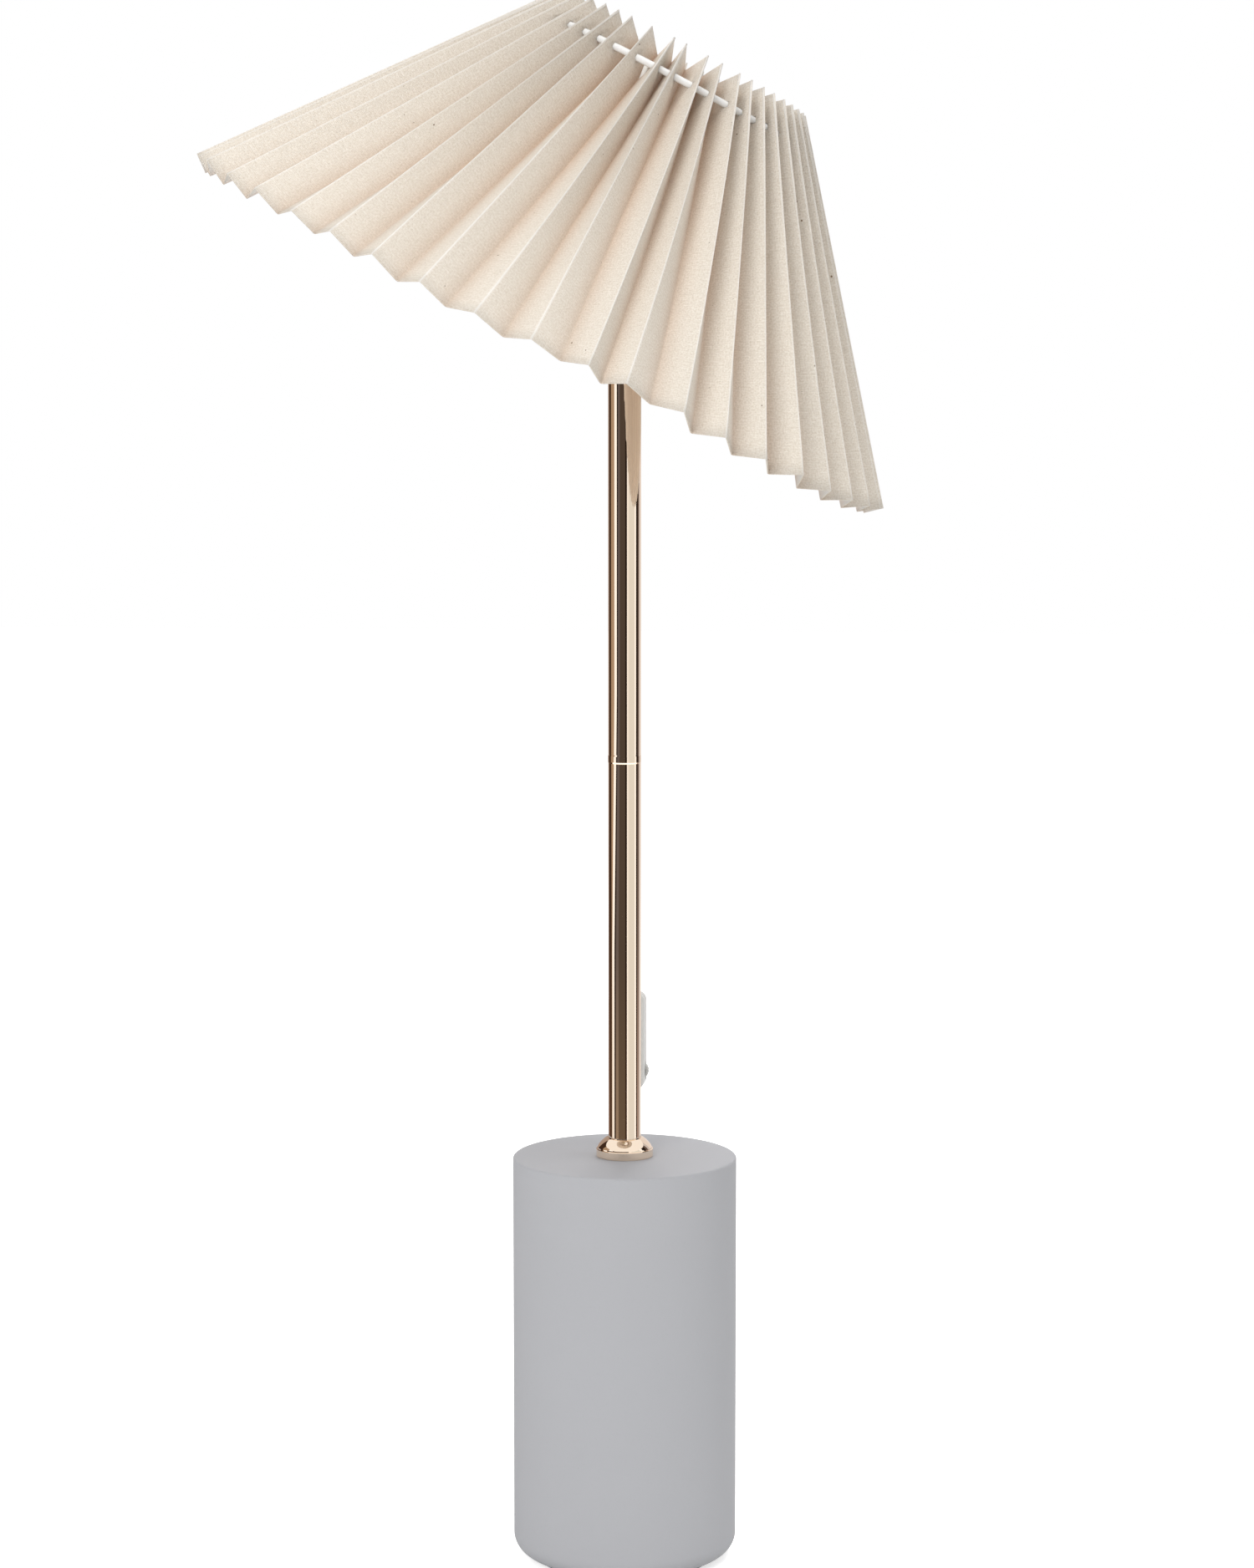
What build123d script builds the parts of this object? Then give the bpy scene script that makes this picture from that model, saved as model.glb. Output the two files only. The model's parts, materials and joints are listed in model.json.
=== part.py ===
"""Table lamp: a cast concrete base, a two-part metal stem and a pleated linen shade on a tilting head."""
import math
import os

from build123d import *

# Sizes are in millimetres and angles in degrees.
# The origin is the centre of the base's underside. +Z is up, +X is the side that
# the top of the shade leans to, and +Y is the back, where the cord hangs.

# Fits that several pieces share
SLIP = 0.05  # radial gap between round pieces that are pushed or screwed together
RUN = 0.08  # radial gap of a shaft that turns
LOOSE = 0.3  # gap round a soft or loosely held piece
FACE = 0.05  # gap between flat faces that turn on each other

# Base
base_dia = 110.0
base_top = 200.0
base_foot_fillet = 9.0
base_top_fillet = 1.2
pad_thick = 2.0
pad_margin = 1.0  # between the pad's edge and the base's rounded foot
pocket_dia = 34.0
pocket_depth = 18.0
rod_dia = 10.0
rod_room = 0.6  # radial gap of the tie rod in the concrete
rod_past_nut = 2.5
rod_short = 2.0  # the tie rod ends this far below the top of the insert it screws into
washer_dia = 28.0
washer_thick = 1.5
nut_flats = 17.0
nut_thick = 5.0

# Stem
stem_dia = 16.0
stem_wall = 1.0
lower_length = 194.1
upper_length = 255.5
collar_height = 4.4
collar_dia = 16.3
spigot_length = 24.0
insert_length = 28.0
flange_dia = 28.0
flange_rim = 3.7
flange_height = 9.2
flange_neck = 1.3  # how far the flange's top stands out round the stem
flange_dome = 0.9  # how far the dome bulges past the straight line from rim to neck
coupler_wall = 3.0

# Knuckle that the head tilts on
neck_height = 14.0  # from the top of the upper tube to the tilt axis
neck_collar = 1.5  # full-width step where the neck sits on the tube
eye_dia = 22.0
eye_thick = 14.0
nipple_dia = 10.0
nipple_bore = 7.0
nipple_past_nut = 0.8
nipple_in_outlet = 10.0
friction_dia = 20.0
friction_thick = 0.8
spring_dia = 17.0
spring_thick = 0.9
lock_flats = 14.0
lock_thick = 3.0
back_washer_dia = 20.0
back_washer_thick = 1.0

# Head, along the shade's own axis, measured up from the pleats' outer folds at the rim
tilt = 27.5
tilt_axis_up = 74.65
head_offset = 35.0  # from the stem's axis to the shade's axis
cup_dia = 40.0
cup_wall = 1.5
cup_below_axis = 17.0
cup_above_axis = 29.35
cup_crown = 7.0
boss_dia = 21.0
boss_seat = 4.0  # how far the boss reaches inside the cup's wall, where the nut bears
cup_screw_dia = 3.0
cup_screw_head = 5.0
cup_screw_head_height = 1.2
cup_screw_length = 4.0  # it stops short of the insulator
cup_screw_seat = 0.2  # between the cup's round side and the flat under the screw's head

# Lampholder and bulb
holder_skirt = 14.0
holder_dia = 38.0
holder_wall = 3.0
holder_spigot = 5.0
holder_flange_dia = 43.0
holder_flange_thick = 2.0
insulator_roof = 2.4
insulator_inset = 2.0  # from the skirt's lower edge up to the insulator
screw_inset = 4.0  # from the skirt's lower edge up to the threaded shell
screw_dia = 26.0
screw_wall = 0.3
screw_room = 0.5
contact_thick = 0.5
bulb_dia = 45.0
bulb_length = 66.0
bulb_neck_dia = 24.0
bulb_wall = 1.0
bulb_cap_length = 21.0
bulb_cap_wall = 0.4
bulb_contact_dia = 9.0
bulb_contact_height = 1.6
bulb_shoulder = 2.0  # how much wider than its neck the glass is where the globe begins
cap_cone = 4.0  # height of the slope from the thread to the end contact
filament_ring = 9.0
filament_dia = 1.6
filament_length = 22.0
filament_drop = 10.0  # from the globe's centre down to the filaments' lower ends
filament_arm_dia = 1.0
filament_arm_up = 11.0
filament_legs = 4
stem_glass_dia = 6.0
stem_glass_up = 4.0  # from the globe's centre to the lower end of the glass pillar
stem_glass_foot = 1.5

# Shade frame
clamp_height = 6.0
clamp_dia = 52.0
clamp_lip = 1.6
hub_dia = 47.0
hub_thick = 1.6
arm_dia = 2.4
arm_foot_out = 8.0  # the flat foot of an arm runs out this far before it bends up
arm_foot_up = 2.0
ring_dia = 3.2
ring_radius = 68.5
ring_up = 129.0
arm_folds = (-1, 14, 28)  # the folds that the three arms reach into

# Pleated shade
pleats = 44
first_fold_angle = -84.3
rim_radius = 181.0
top_radius = 63.8
shade_height = 145.0  # along its axis, between the ends of the outer folds
rim_depth = 9.2  # depth of a pleat at the rim, square to the slant
top_depth = 15.7
cloth_thick = 0.7
hole_room = 0.4  # radial gap of the ring in its holes
hole_reach = 5.0  # how far to each side of its fold a hole runs, through both panels

# Cord, switch and plug
cord_dia = 5.0
corner_share = 0.45  # of the shorter run beside a corner, taken up by the arc round it
cord_back = 28.0  # how far behind the stem the cord hangs
outlet_dia = 15.0
outlet_pipe_dia = 11.0
outlet_drop = 18.0
outlet_edge = 2.0
outlet_bore = 6.0
grip_dia = 8.6
grip_tip_dia = 6.6
grip_length = 24.0
switch_x = -2.3
switch_low = 229.0
switch_length = 48.0
switch_width = 19.0
switch_thick = 14.0
switch_wall = 1.4
switch_corner = 6.5
switch_edge = 2.5
wheel_dia = 9.4
wheel_thick = 4.4
wheel_up = 8.6  # from the switch's lower end to the wheel's axis
wheel_proud = 1.6
wheel_notches = 18
wheel_notch_dia = 0.7
wheel_room = 0.4
pin_dia = 2.0
pin_boss_dia = 5.0
screw_boss_up = 30.0  # from the switch's lower end to its screw
switch_screw_dia = 2.5
switch_screw_head = 4.6
switch_screw_head_height = 1.2
switch_screw_sunk = 1.6
switch_screw_short = 0.4
screw_boss_dia = 5.5
contact_thick_strip = 0.6
contact_width = 5.0
contact_apart = 3.0  # of each strip from the switch's middle plane
contact_inset = 1.6  # from the switch's inner wall
contact_short = 4.0
plug_length = 34.0
plug_width = 25.0
plug_neck = 22.0
plug_fillet = 3.0
neck_round = 0.9  # how far the plug's neck stands out round the cord at its thin end
neck_flare = 3.2  # and where it meets the body
blade_length = 17.5
blade_width = 6.35
blade_thick = 1.5
blade_spacing = 12.7
blade_seat = 6.0  # length of a blade inside the body

# Coil of the put-away cord
coil_x = -13.0
coil_y = 120.5
coil_outer = 36.6  # radius of the outermost turn's middle line
coil_turns = 3  # in each of the two layers
coil_pitch = 5.6
coil_layer = 5.6
coil_start_angle = -45.0
coil_end_angle = 42.0
coil_lead = 15.7  # the straight run along the floor that leads into the coil
tail_runs = [(13.0, 0.0), (27.0, 1.4), (41.0, 1.8)]  # forward and aside, from the coil's end to the plug

# Routes that the free cord follows, each chosen by hand; the cord clears the base's back edge
upper_route = [
    (0.0, 28.0, 586.0),
    (0.9, 26.9, 540.0),
    (1.2, 26.3, 476.0),
    (0.2, 27.0, 412.0),
    (-1.4, 28.4, 352.0),
    (-2.3, 28.0, 312.0),
]
lower_route = [
    (-2.3, 28.0, 221.0),
    (-3.0, 32.6, 213.6),
    (-4.6, 43.0, 209.2),
    (-6.6, 56.4, 208.8),
    (-8.4, 69.4, 204.8),
    (-9.9, 79.4, 196.2),
    (-10.9, 84.6, 183.9),
    (-11.5, 85.3, 169.0),
    (-12.1, 82.8, 142.0),
    (-13.0, 77.7, 113.0),
    (-13.6, 73.6, 86.0),
    (-14.2, 70.8, 62.0),
    (-14.6, 69.6, 41.4),
    (-14.3, 68.9, 24.9),
    (-8.2, 73.9, 10.5),
]

# Sizes worked out from the ones above
coupler_z = base_top + lower_length
upper_z = coupler_z + collar_height
stem_top = upper_z + upper_length
pivot_z = stem_top + neck_height
stem_bore = stem_dia - 2 * stem_wall
spigot_dia = stem_bore - 2 * SLIP
pocket_roof = pad_thick + pocket_depth
boss_face = -(eye_thick / 2 + friction_thick + 2 * FACE)
boss_back = -head_offset + cup_dia / 2 - cup_wall - boss_seat
cup_low = tilt_axis_up - cup_below_axis
cup_high = tilt_axis_up + cup_above_axis
cup_bore = cup_dia - 2 * cup_wall
holder_low = cup_low - holder_skirt - holder_flange_thick
screw_top = holder_low + holder_skirt + holder_flange_thick - insulator_roof + holder_spigot
hub_z = cup_low - holder_flange_thick - hub_thick
clamp_z = hub_z - clamp_height
bulb_top = screw_top - contact_thick
bulb_tip = bulb_top - bulb_length
outlet_low = pivot_z - outlet_drop
grip_low = outlet_low - grip_length
switch_high = switch_low + switch_length
coil_low = cord_dia / 2
coil_high = coil_low + coil_layer
plug_thick = 2 * coil_high
wheel_x = switch_x + switch_width / 2 + wheel_proud - wheel_dia / 2
wheel_z = switch_low + wheel_up
rim_slope = math.atan2(rim_radius - top_radius, shade_height)  # of the slant, from the axis

head_frame = Pos(0, -head_offset, pivot_z) * Rot(0, tilt, 0) * Pos(0, 0, -tilt_axis_up)


def turned(points):
    """A solid turned about Z from a closed outline of (radius, height) points."""
    outline = make_face(Polyline([(r, 0, z) for r, z in points], close=True))
    return revolve(outline, Axis.Z)


def pipe(outer, inner, low, high):
    """A round pipe or ring about Z."""
    return turned([(inner / 2, low), (outer / 2, low), (outer / 2, high), (inner / 2, high)])


def rod(dia, low, high):
    """A round bar about Z."""
    return Pos(0, 0, low) * Cylinder(dia / 2, high - low, align=(Align.CENTER, Align.CENTER, Align.MIN))


def hexagon(flats, low, high):
    """A six-sided bar about Z, measured across its flats."""
    outline = RegularPolygon(flats / 2, 6, major_radius=False)
    return Pos(0, 0, low) * extrude(outline, high - low)


def standing_box(length, width, height):
    """A box with its underside at Z = 0."""
    return Box(length, width, height, align=(Align.CENTER, Align.CENTER, Align.MIN))


def along_y(solid, height=pivot_z):
    """A solid made about Z, turned so that its +Z points to the back at the given height."""
    return Pos(0, 0, height) * Rot(-90, 0, 0) * solid


def base_parts():
    """The concrete base, its soft pad and what pulls the stem down on it."""
    body = turned([
        (rod_dia / 2 + rod_room, base_top),
        (base_dia / 2, base_top),
        (base_dia / 2, pad_thick),
        (pocket_dia / 2, pad_thick),
        (pocket_dia / 2, pocket_roof),
        (rod_dia / 2 + rod_room, pocket_roof),
    ])
    outside = body.edges().filter_by(lambda e: e.geom_type == GeomType.CIRCLE
                                     and abs(e.radius - base_dia / 2) < 0.01)
    body = fillet(outside.sort_by(Axis.Z)[0], base_foot_fillet)
    outside = body.edges().filter_by(lambda e: e.geom_type == GeomType.CIRCLE
                                     and abs(e.radius - base_dia / 2) < 0.01)
    body = fillet(outside.sort_by(Axis.Z)[-1], base_top_fillet)
    washer_low = pocket_roof - washer_thick
    nut_low = washer_low - nut_thick
    rod_top = base_top + insert_length - rod_short
    return {
        "base_body": body,
        "base_pad": rod(base_dia - 2 * base_foot_fillet - 2 * pad_margin, 0, pad_thick),
        "base_washer": pipe(washer_dia, rod_dia + 2 * SLIP, washer_low, pocket_roof),
        "base_nut": hexagon(nut_flats, nut_low, washer_low) - rod(rod_dia + 2 * SLIP, nut_low, washer_low),
        "tie_rod": rod(rod_dia, nut_low - rod_past_nut, rod_top),
    }


def stem_parts():
    """The two tubes, the collar between them, the foot flange and the threaded insert."""
    inner = stem_dia / 2 + SLIP
    neck = stem_dia / 2 + flange_neck
    rim = base_top + flange_rim
    crest = base_top + flange_height
    outer = flange_dia / 2
    edge = Polyline((inner, 0, crest), (inner, 0, base_top), (outer, 0, base_top), (outer, 0, rim))
    dome = ThreePointArc(
        (outer, 0, rim),
        ((outer + neck) / 2 + flange_dome, 0, (rim + crest) / 2 + flange_dome),
        (neck, 0, crest),
    )
    flange = revolve(make_face(edge + dome + Line((neck, 0, crest), (inner, 0, crest))), Axis.Z)
    insert_top = base_top + insert_length
    bore = spigot_dia - 2 * coupler_wall
    coupler = pipe(collar_dia, bore, coupler_z, upper_z)
    coupler += pipe(spigot_dia, bore, coupler_z - spigot_length, upper_z + spigot_length)
    return {
        "foot_flange": flange,
        "stem_lower": pipe(stem_dia, stem_bore, base_top, coupler_z),
        "stem_foot_insert": pipe(spigot_dia, rod_dia + 2 * SLIP, base_top, insert_top),
        "stem_coupler": coupler,
        "stem_upper": pipe(stem_dia, stem_bore, upper_z, stem_top),
    }


def knuckle_parts():
    """The eye on top of the stem and the hollow hinge pin with its washers and nut."""
    block = rod(stem_dia, stem_top, pivot_z) + along_y(rod(eye_dia, -eye_thick / 2, eye_thick / 2))
    block &= Pos(0, 0, pivot_z) * Box(2 * eye_dia, eye_thick, 2 * eye_dia)
    block += rod(spigot_dia, stem_top - spigot_length, stem_top)
    block += rod(stem_dia, stem_top, stem_top + neck_collar)
    block -= along_y(rod(nipple_dia + 2 * SLIP, -eye_dia, eye_dia))
    spring_low = boss_back - FACE - spring_thick
    nut_low = spring_low - lock_thick
    pin_low = nut_low - nipple_past_nut
    back = eye_thick / 2 + back_washer_thick
    hole = nipple_dia + 2 * SLIP
    nut = hexagon(lock_flats, nut_low, spring_low) - rod(hole, nut_low, spring_low)
    friction_low = -eye_thick / 2 - friction_thick
    return {
        "knuckle_block": block,
        "hinge_nipple": along_y(pipe(nipple_dia, nipple_bore, pin_low, back + nipple_in_outlet)),
        "friction_washer": along_y(pipe(friction_dia, hole, friction_low, -eye_thick / 2)),
        "spring_washer": along_y(pipe(spring_dia, hole, spring_low, spring_low + spring_thick)),
        "lock_nut": along_y(nut),
        "back_washer": along_y(pipe(back_washer_dia, hole, eye_thick / 2, back)),
    }


def outlet_parts():
    """The elbow that turns the cord down behind the stem, and its tapered grip."""
    back = eye_thick / 2 + back_washer_thick
    body = along_y(rod(outlet_dia, back, cord_back + outlet_pipe_dia / 2))
    body = fillet(body.edges().sort_by(Axis.Y)[-1], outlet_edge)
    body += Pos(0, cord_back, 0) * rod(outlet_pipe_dia, outlet_low, pivot_z)
    body -= along_y(rod(nipple_dia + 2 * SLIP, back - 1, back + nipple_in_outlet))
    body -= along_y(rod(outlet_bore, back, cord_back))
    body -= Pos(0, cord_back, 0) * rod(outlet_bore, outlet_low - 1, pivot_z)
    grip = Pos(0, cord_back, grip_low) * Solid.make_cone(
        grip_tip_dia / 2, grip_dia / 2, grip_length
    )
    return {"cord_outlet": body, "cord_grip": grip}


def head_parts():
    """The cup that turns on the knuckle, with the lampholder below it."""
    cup = turned([(0, cup_low), (cup_dia / 2, cup_low), (cup_dia / 2, cup_high), (0, cup_high)])
    cup = fillet(cup.edges().sort_by(Axis.Z)[-1], cup_crown)
    hollow = turned([
        (0, cup_low - 1),
        (cup_bore / 2, cup_low - 1),
        (cup_bore / 2, cup_high - cup_wall - cup_crown / 2),
        (cup_bore / 2 - cup_crown / 2, cup_high - cup_wall),
        (0, cup_high - cup_wall),
    ])
    boss = Pos(0, 0, tilt_axis_up) * Rot(-90, 0, 0) * rod(
        boss_dia, boss_back + head_offset, boss_face + head_offset
    )
    bore = Pos(0, 0, tilt_axis_up) * Rot(-90, 0, 0) * rod(nipple_dia + 2 * RUN, 0, head_offset)
    cup = (cup - hollow) + boss - bore
    skirt_bore = holder_dia - 2 * holder_wall
    shell = pipe(holder_dia, skirt_bore, holder_low, cup_low)
    shell += pipe(holder_flange_dia, skirt_bore, cup_low - holder_flange_thick, cup_low)
    shell += pipe(cup_bore - 2 * SLIP, skirt_bore, cup_low, cup_low + holder_spigot)
    shank_out = cup_dia / 2 + cup_screw_seat
    hole = rod(cup_screw_dia + 2 * SLIP, skirt_bore / 2 - 1, cup_dia)
    screws = []
    for angle in (0, 180):
        place = Rot(0, 0, angle) * Pos(0, 0, cup_low + holder_spigot / 2) * Rot(0, 90, 0)
        cup -= place * hole
        shell -= place * hole
        screw = rod(cup_screw_dia, shank_out - cup_screw_length, shank_out)
        screw += rod(cup_screw_head, shank_out, shank_out + cup_screw_head_height)
        screws.append(place * screw)
    roof = cup_low + holder_spigot
    cavity = screw_dia + 2 * screw_room + 2 * screw_wall + 2 * SLIP
    insulator = turned([
        (0, screw_top),
        (cavity / 2, screw_top),
        (cavity / 2, holder_low + insulator_inset),
        (skirt_bore / 2 - SLIP, holder_low + insulator_inset),
        (skirt_bore / 2 - SLIP, roof),
        (0, roof),
    ])
    screw_outer = cavity - 2 * SLIP
    screw_shell = pipe(screw_outer, screw_outer - 2 * screw_wall, holder_low + screw_inset, screw_top)
    contact = rod(bulb_contact_dia, screw_top - contact_thick, screw_top)
    return {
        "head_cup": cup,
        "cup_screws": Compound(children=[s.solids()[0] for s in screws]),
        "holder_shell": shell,
        "holder_insulator": insulator,
        "screw_shell": screw_shell,
        "centre_contact": contact,
    }


def bulb_parts():
    """The globe bulb that points down out of the shade."""
    radius = bulb_dia / 2
    centre = bulb_tip + radius
    cap_top = bulb_top - bulb_contact_height
    cap_low = cap_top - bulb_cap_length

    def globe(r, inset):
        side = (r, 0, centre)
        shoulder_out = bulb_neck_dia / 2 + bulb_shoulder - inset
        shoulder = (shoulder_out, 0, centre + math.sqrt(r**2 - shoulder_out**2))
        low_angle, high_angle = -math.pi / 4, math.acos(shoulder_out / r) / 2
        tip = (0, 0, centre - r)
        line = Polyline(shoulder, (bulb_neck_dia / 2 - inset, 0, cap_low), (0, 0, cap_low), tip)
        for begin, angle, end in ((tip, low_angle, side), (side, high_angle, shoulder)):
            line += ThreePointArc(begin, (r * math.cos(angle), 0, centre + r * math.sin(angle)), end)
        return revolve(make_face(line), Axis.Z)

    glass = globe(radius, 0) - globe(radius - bulb_wall, bulb_wall)
    thread_top = cap_top - cap_cone
    lip = bulb_contact_dia / 2
    cap = pipe(screw_dia, screw_dia - 2 * bulb_cap_wall, cap_low, thread_top)
    cap += turned([
        (screw_dia / 2 - bulb_cap_wall, thread_top),
        (screw_dia / 2, thread_top),
        (lip + 1, cap_top),
        (lip, cap_top),
        (lip, cap_top - 1),
    ])
    contact = rod(bulb_contact_dia, cap_top - 1, bulb_top)
    legs = rod(stem_glass_dia, centre + stem_glass_up, cap_low)
    legs += rod(bulb_neck_dia - 2 * bulb_wall, cap_low, cap_low + stem_glass_foot)
    leg = Pos(filament_ring, 0, centre) * rod(filament_dia, -filament_drop, filament_length - filament_drop)
    leg += Pos(0, 0, centre + filament_arm_up) * Rot(0, 90, 0) * rod(filament_arm_dia, 0, filament_ring)
    for index in range(filament_legs):
        legs += Rot(0, 0, 45 + index * 360 / filament_legs) * leg
    return {"bulb_glass": glass, "bulb_cap": cap, "bulb_contact": contact, "bulb_filament": legs}


def shade_frame_parts():
    """The welded wire frame that the pleats hang on, and the ring that clamps it."""
    hub = pipe(hub_dia, holder_dia + 2 * LOOSE, hub_z, hub_z + hub_thick)
    ring = Pos(0, 0, ring_up) * Torus(ring_radius, ring_dia / 2)
    frame = hub + ring
    start = Vector(hub_dia / 2 - arm_dia / 2, 0, hub_z + arm_dia / 2)
    end = Vector(ring_radius - ring_dia / 4, 0, ring_up - ring_dia / 4)
    knee = Vector(start.X + arm_foot_out, 0, start.Z + arm_foot_up)
    turn = math.radians((knee - start).get_angle(end - knee))
    bend = 2 * corner_share * (knee - start).length / math.tan(turn / 2)
    path = FilletPolyline(start, knee, end, radius=[bend])
    section = Plane(start, z_dir=knee - start) * Circle(arm_dia / 2)
    arm = sweep(section, path)
    for fold in arm_folds:
        frame += Rot(0, 0, first_fold_angle + fold * 360 / pleats) * arm
    clamp = pipe(clamp_dia, holder_dia + 2 * SLIP, hub_z - clamp_lip, hub_z)
    clamp += pipe(holder_flange_dia, holder_dia + 2 * SLIP, clamp_z, hub_z)
    return {"shade_frame": frame, "shade_clamp_ring": clamp}


def fold_line(index, inside):
    """The lower and upper end of one fold of the strip, on its outer or inner face.

    Even folds stand out and odd folds lie in. The strip's edges are cut square to its
    folds, so the folds that lie in end lower down.
    """
    angle = math.radians(first_fold_angle + index * 180 / pleats)
    ends = []
    for radius, height, depth in ((rim_radius, 0.0, rim_depth), (top_radius, shade_height, top_depth)):
        across = 2 * radius * math.sin(math.pi / pleats / 2)
        opening = math.atan2(across * (1 - depth / radius / 2), depth)
        inward = (cloth_thick / math.sin(opening) if inside else 0.0) + depth * (index % 2)
        r = radius - inward * math.cos(rim_slope)
        z = height - inward * math.sin(rim_slope)
        ends.append(Vector(r * math.cos(angle), r * math.sin(angle), z))
    return ends


def shade_cloth():
    """One strip of linen folded into pleats, with a hole through each panel for the ring."""
    faces = []
    for index in range(2 * pleats):
        outer, outer_next = fold_line(index, False), fold_line(index + 1, False)
        inner, inner_next = fold_line(index, True), fold_line(index + 1, True)
        faces.append(Face.make_surface_from_curves(Edge.make_line(*outer), Edge.make_line(*outer_next)))
        faces.append(Face.make_surface_from_curves(Edge.make_line(*inner), Edge.make_line(*inner_next)))
        for end in (0, 1):
            near = Edge.make_line(outer[end], outer_next[end])
            far = Edge.make_line(inner[end], inner_next[end])
            faces.append(Face.make_surface_from_curves(near, far))
    cloth = Solid(Shell(faces))
    holes = []
    for index in range(pleats):
        turn = Rot(0, 0, first_fold_angle + index * 360 / pleats)
        bar = Cylinder(ring_dia / 2 + hole_room, 2 * hole_reach, rotation=(90, 0, 0))
        holes.append(turn * Pos(ring_radius, 0, ring_up) * bar)
    return cloth - holes


def switch_parts():
    """The inline switch: two shells, a screw, a wheel on its pin and the contact strips."""
    middle = Pos(switch_x, cord_back, switch_low + switch_length / 2)
    block = Box(switch_width, switch_thick, switch_length)
    block = fillet(block.edges().filter_by(Axis.Y), switch_corner)
    block = fillet(block.edges().group_by(Axis.Y)[0] + block.edges().group_by(Axis.Y)[-1], switch_edge)
    hollow = Box(
        switch_width - 2 * switch_wall, switch_thick - 2 * switch_wall, switch_length - 2 * switch_wall
    )
    hollow = fillet(hollow.edges().filter_by(Axis.Y), switch_corner - switch_wall)
    axis_x = wheel_x - switch_x
    axis_z = wheel_z - switch_low - switch_length / 2
    slot = Pos(axis_x, 0, axis_z) * Cylinder(
        wheel_dia / 2 + wheel_room, wheel_thick + 2 * wheel_room, rotation=(90, 0, 0)
    )
    shell = block - hollow - slot
    depth = switch_thick - 2 * switch_wall
    pin_place = Pos(axis_x, 0, axis_z) * Rot(90, 0, 0)
    gap = wheel_thick / 2 + wheel_room
    ears = pin_place * (rod(pin_boss_dia, -depth / 2, depth / 2) - rod(pin_boss_dia + 1, -gap, gap))
    shell += ears & block
    shell -= pin_place * rod(pin_dia + 2 * SLIP, -depth / 2, depth / 2)
    screw_z = screw_boss_up - switch_length / 2
    shell += Pos(0, 0, screw_z) * Rot(90, 0, 0) * rod(screw_boss_dia, -depth / 2, depth / 2)
    sunk = switch_thick / 2 - switch_screw_sunk
    sink = rod(switch_screw_dia + 2 * SLIP, -depth / 2, sunk)
    sink += rod(switch_screw_head + LOOSE, sunk, switch_thick)
    shell -= Pos(0, 0, screw_z) * Rot(-90, 0, 0) * sink
    half = Box(2 * switch_width, switch_thick, 2 * switch_length)
    front = shell & (Pos(0, -switch_thick / 2, 0) * half)
    back = shell & (Pos(0, switch_thick / 2, 0) * half)
    screw = rod(switch_screw_dia, -depth / 2 + switch_screw_short, sunk)
    screw += rod(switch_screw_head, sunk, sunk + switch_screw_head_height)
    wheel = rod(wheel_dia, -wheel_thick / 2, wheel_thick / 2)
    wheel -= rod(pin_dia + 2 * RUN, -wheel_thick, wheel_thick)
    for index in range(wheel_notches):
        notch = Pos(wheel_dia / 2, 0, 0) * rod(wheel_notch_dia, -wheel_thick, wheel_thick)
        wheel -= Rot(0, 0, index * 360 / wheel_notches) * notch
    strips = []
    strip = Box(contact_thick_strip, contact_width, switch_length - 2 * switch_wall - contact_short)
    for side in (-1, 1):
        strips.append(
            middle * Pos(-switch_width / 2 + switch_wall + contact_inset, side * contact_apart, 0) * strip
        )
    return {
        "switch_shell_front": middle * front,
        "switch_shell_back": middle * back,
        "switch_screw": middle * Pos(0, 0, screw_z) * Rot(-90, 0, 0) * screw,
        "switch_wheel": middle * pin_place * wheel,
        "wheel_pin": middle * pin_place * rod(pin_dia, -depth / 2, depth / 2),
        "switch_contacts": Compound(children=[s.solids()[0] for s in strips]),
    }


def tube(name, points):
    """A cord along straight runs that are joined by arcs as large as the runs allow."""
    points = [Vector(*p) for p in points]
    radii = []
    for before, here, after in zip(points, points[1:], points[2:]):
        run_in, run_out = here - before, after - here
        half_turn = math.radians(run_in.get_angle(run_out)) / 2
        radii.append(corner_share * min(run_in.length, run_out.length) / math.tan(half_turn))
    path = FilletPolyline(points, radius=radii)
    section = Plane(points[0], z_dir=points[1] - points[0]) * Circle(cord_dia / 2)
    solid = sweep(section, path)
    ideal = math.pi * cord_dia**2 / 4 * path.length
    print(f"{name}: length {path.length:.0f}, volume share {solid.volume / ideal:.4f},",
          "radii", " ".join(f"{r:.0f}" for r in radii))
    return solid


def coil_point(angle):
    """The middle line of the coil: in along the lower layer, up in half a turn, out along the upper one."""
    drop = coil_pitch / 360
    inward = 360 * coil_turns
    if angle < inward:
        radius, height = coil_outer - drop * angle, coil_low
    elif angle < inward + 180:
        share = (angle - inward) / 180
        radius = coil_outer - coil_pitch * coil_turns - drop * 180 * min(share, 1 - share)
        height = coil_low + coil_layer * share * share * (3 - 2 * share)
    else:
        radius = coil_outer - coil_pitch * coil_turns + drop * (angle - inward - 180)
        height = coil_high
    around = math.radians(coil_start_angle + angle)
    return Vector(coil_x + radius * math.cos(around), coil_y + radius * math.sin(around), height)


def coil_heading(angle):
    step = 0.01
    return (coil_point(angle + step) - coil_point(max(angle - step, 0))).normalized()


def coil_total():
    """The coil's whole turn, from where the cord comes in to where it goes out."""
    return 360 * (2 * coil_turns) + 180 + (coil_end_angle - coil_start_angle - 180) % 360 - 360


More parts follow.
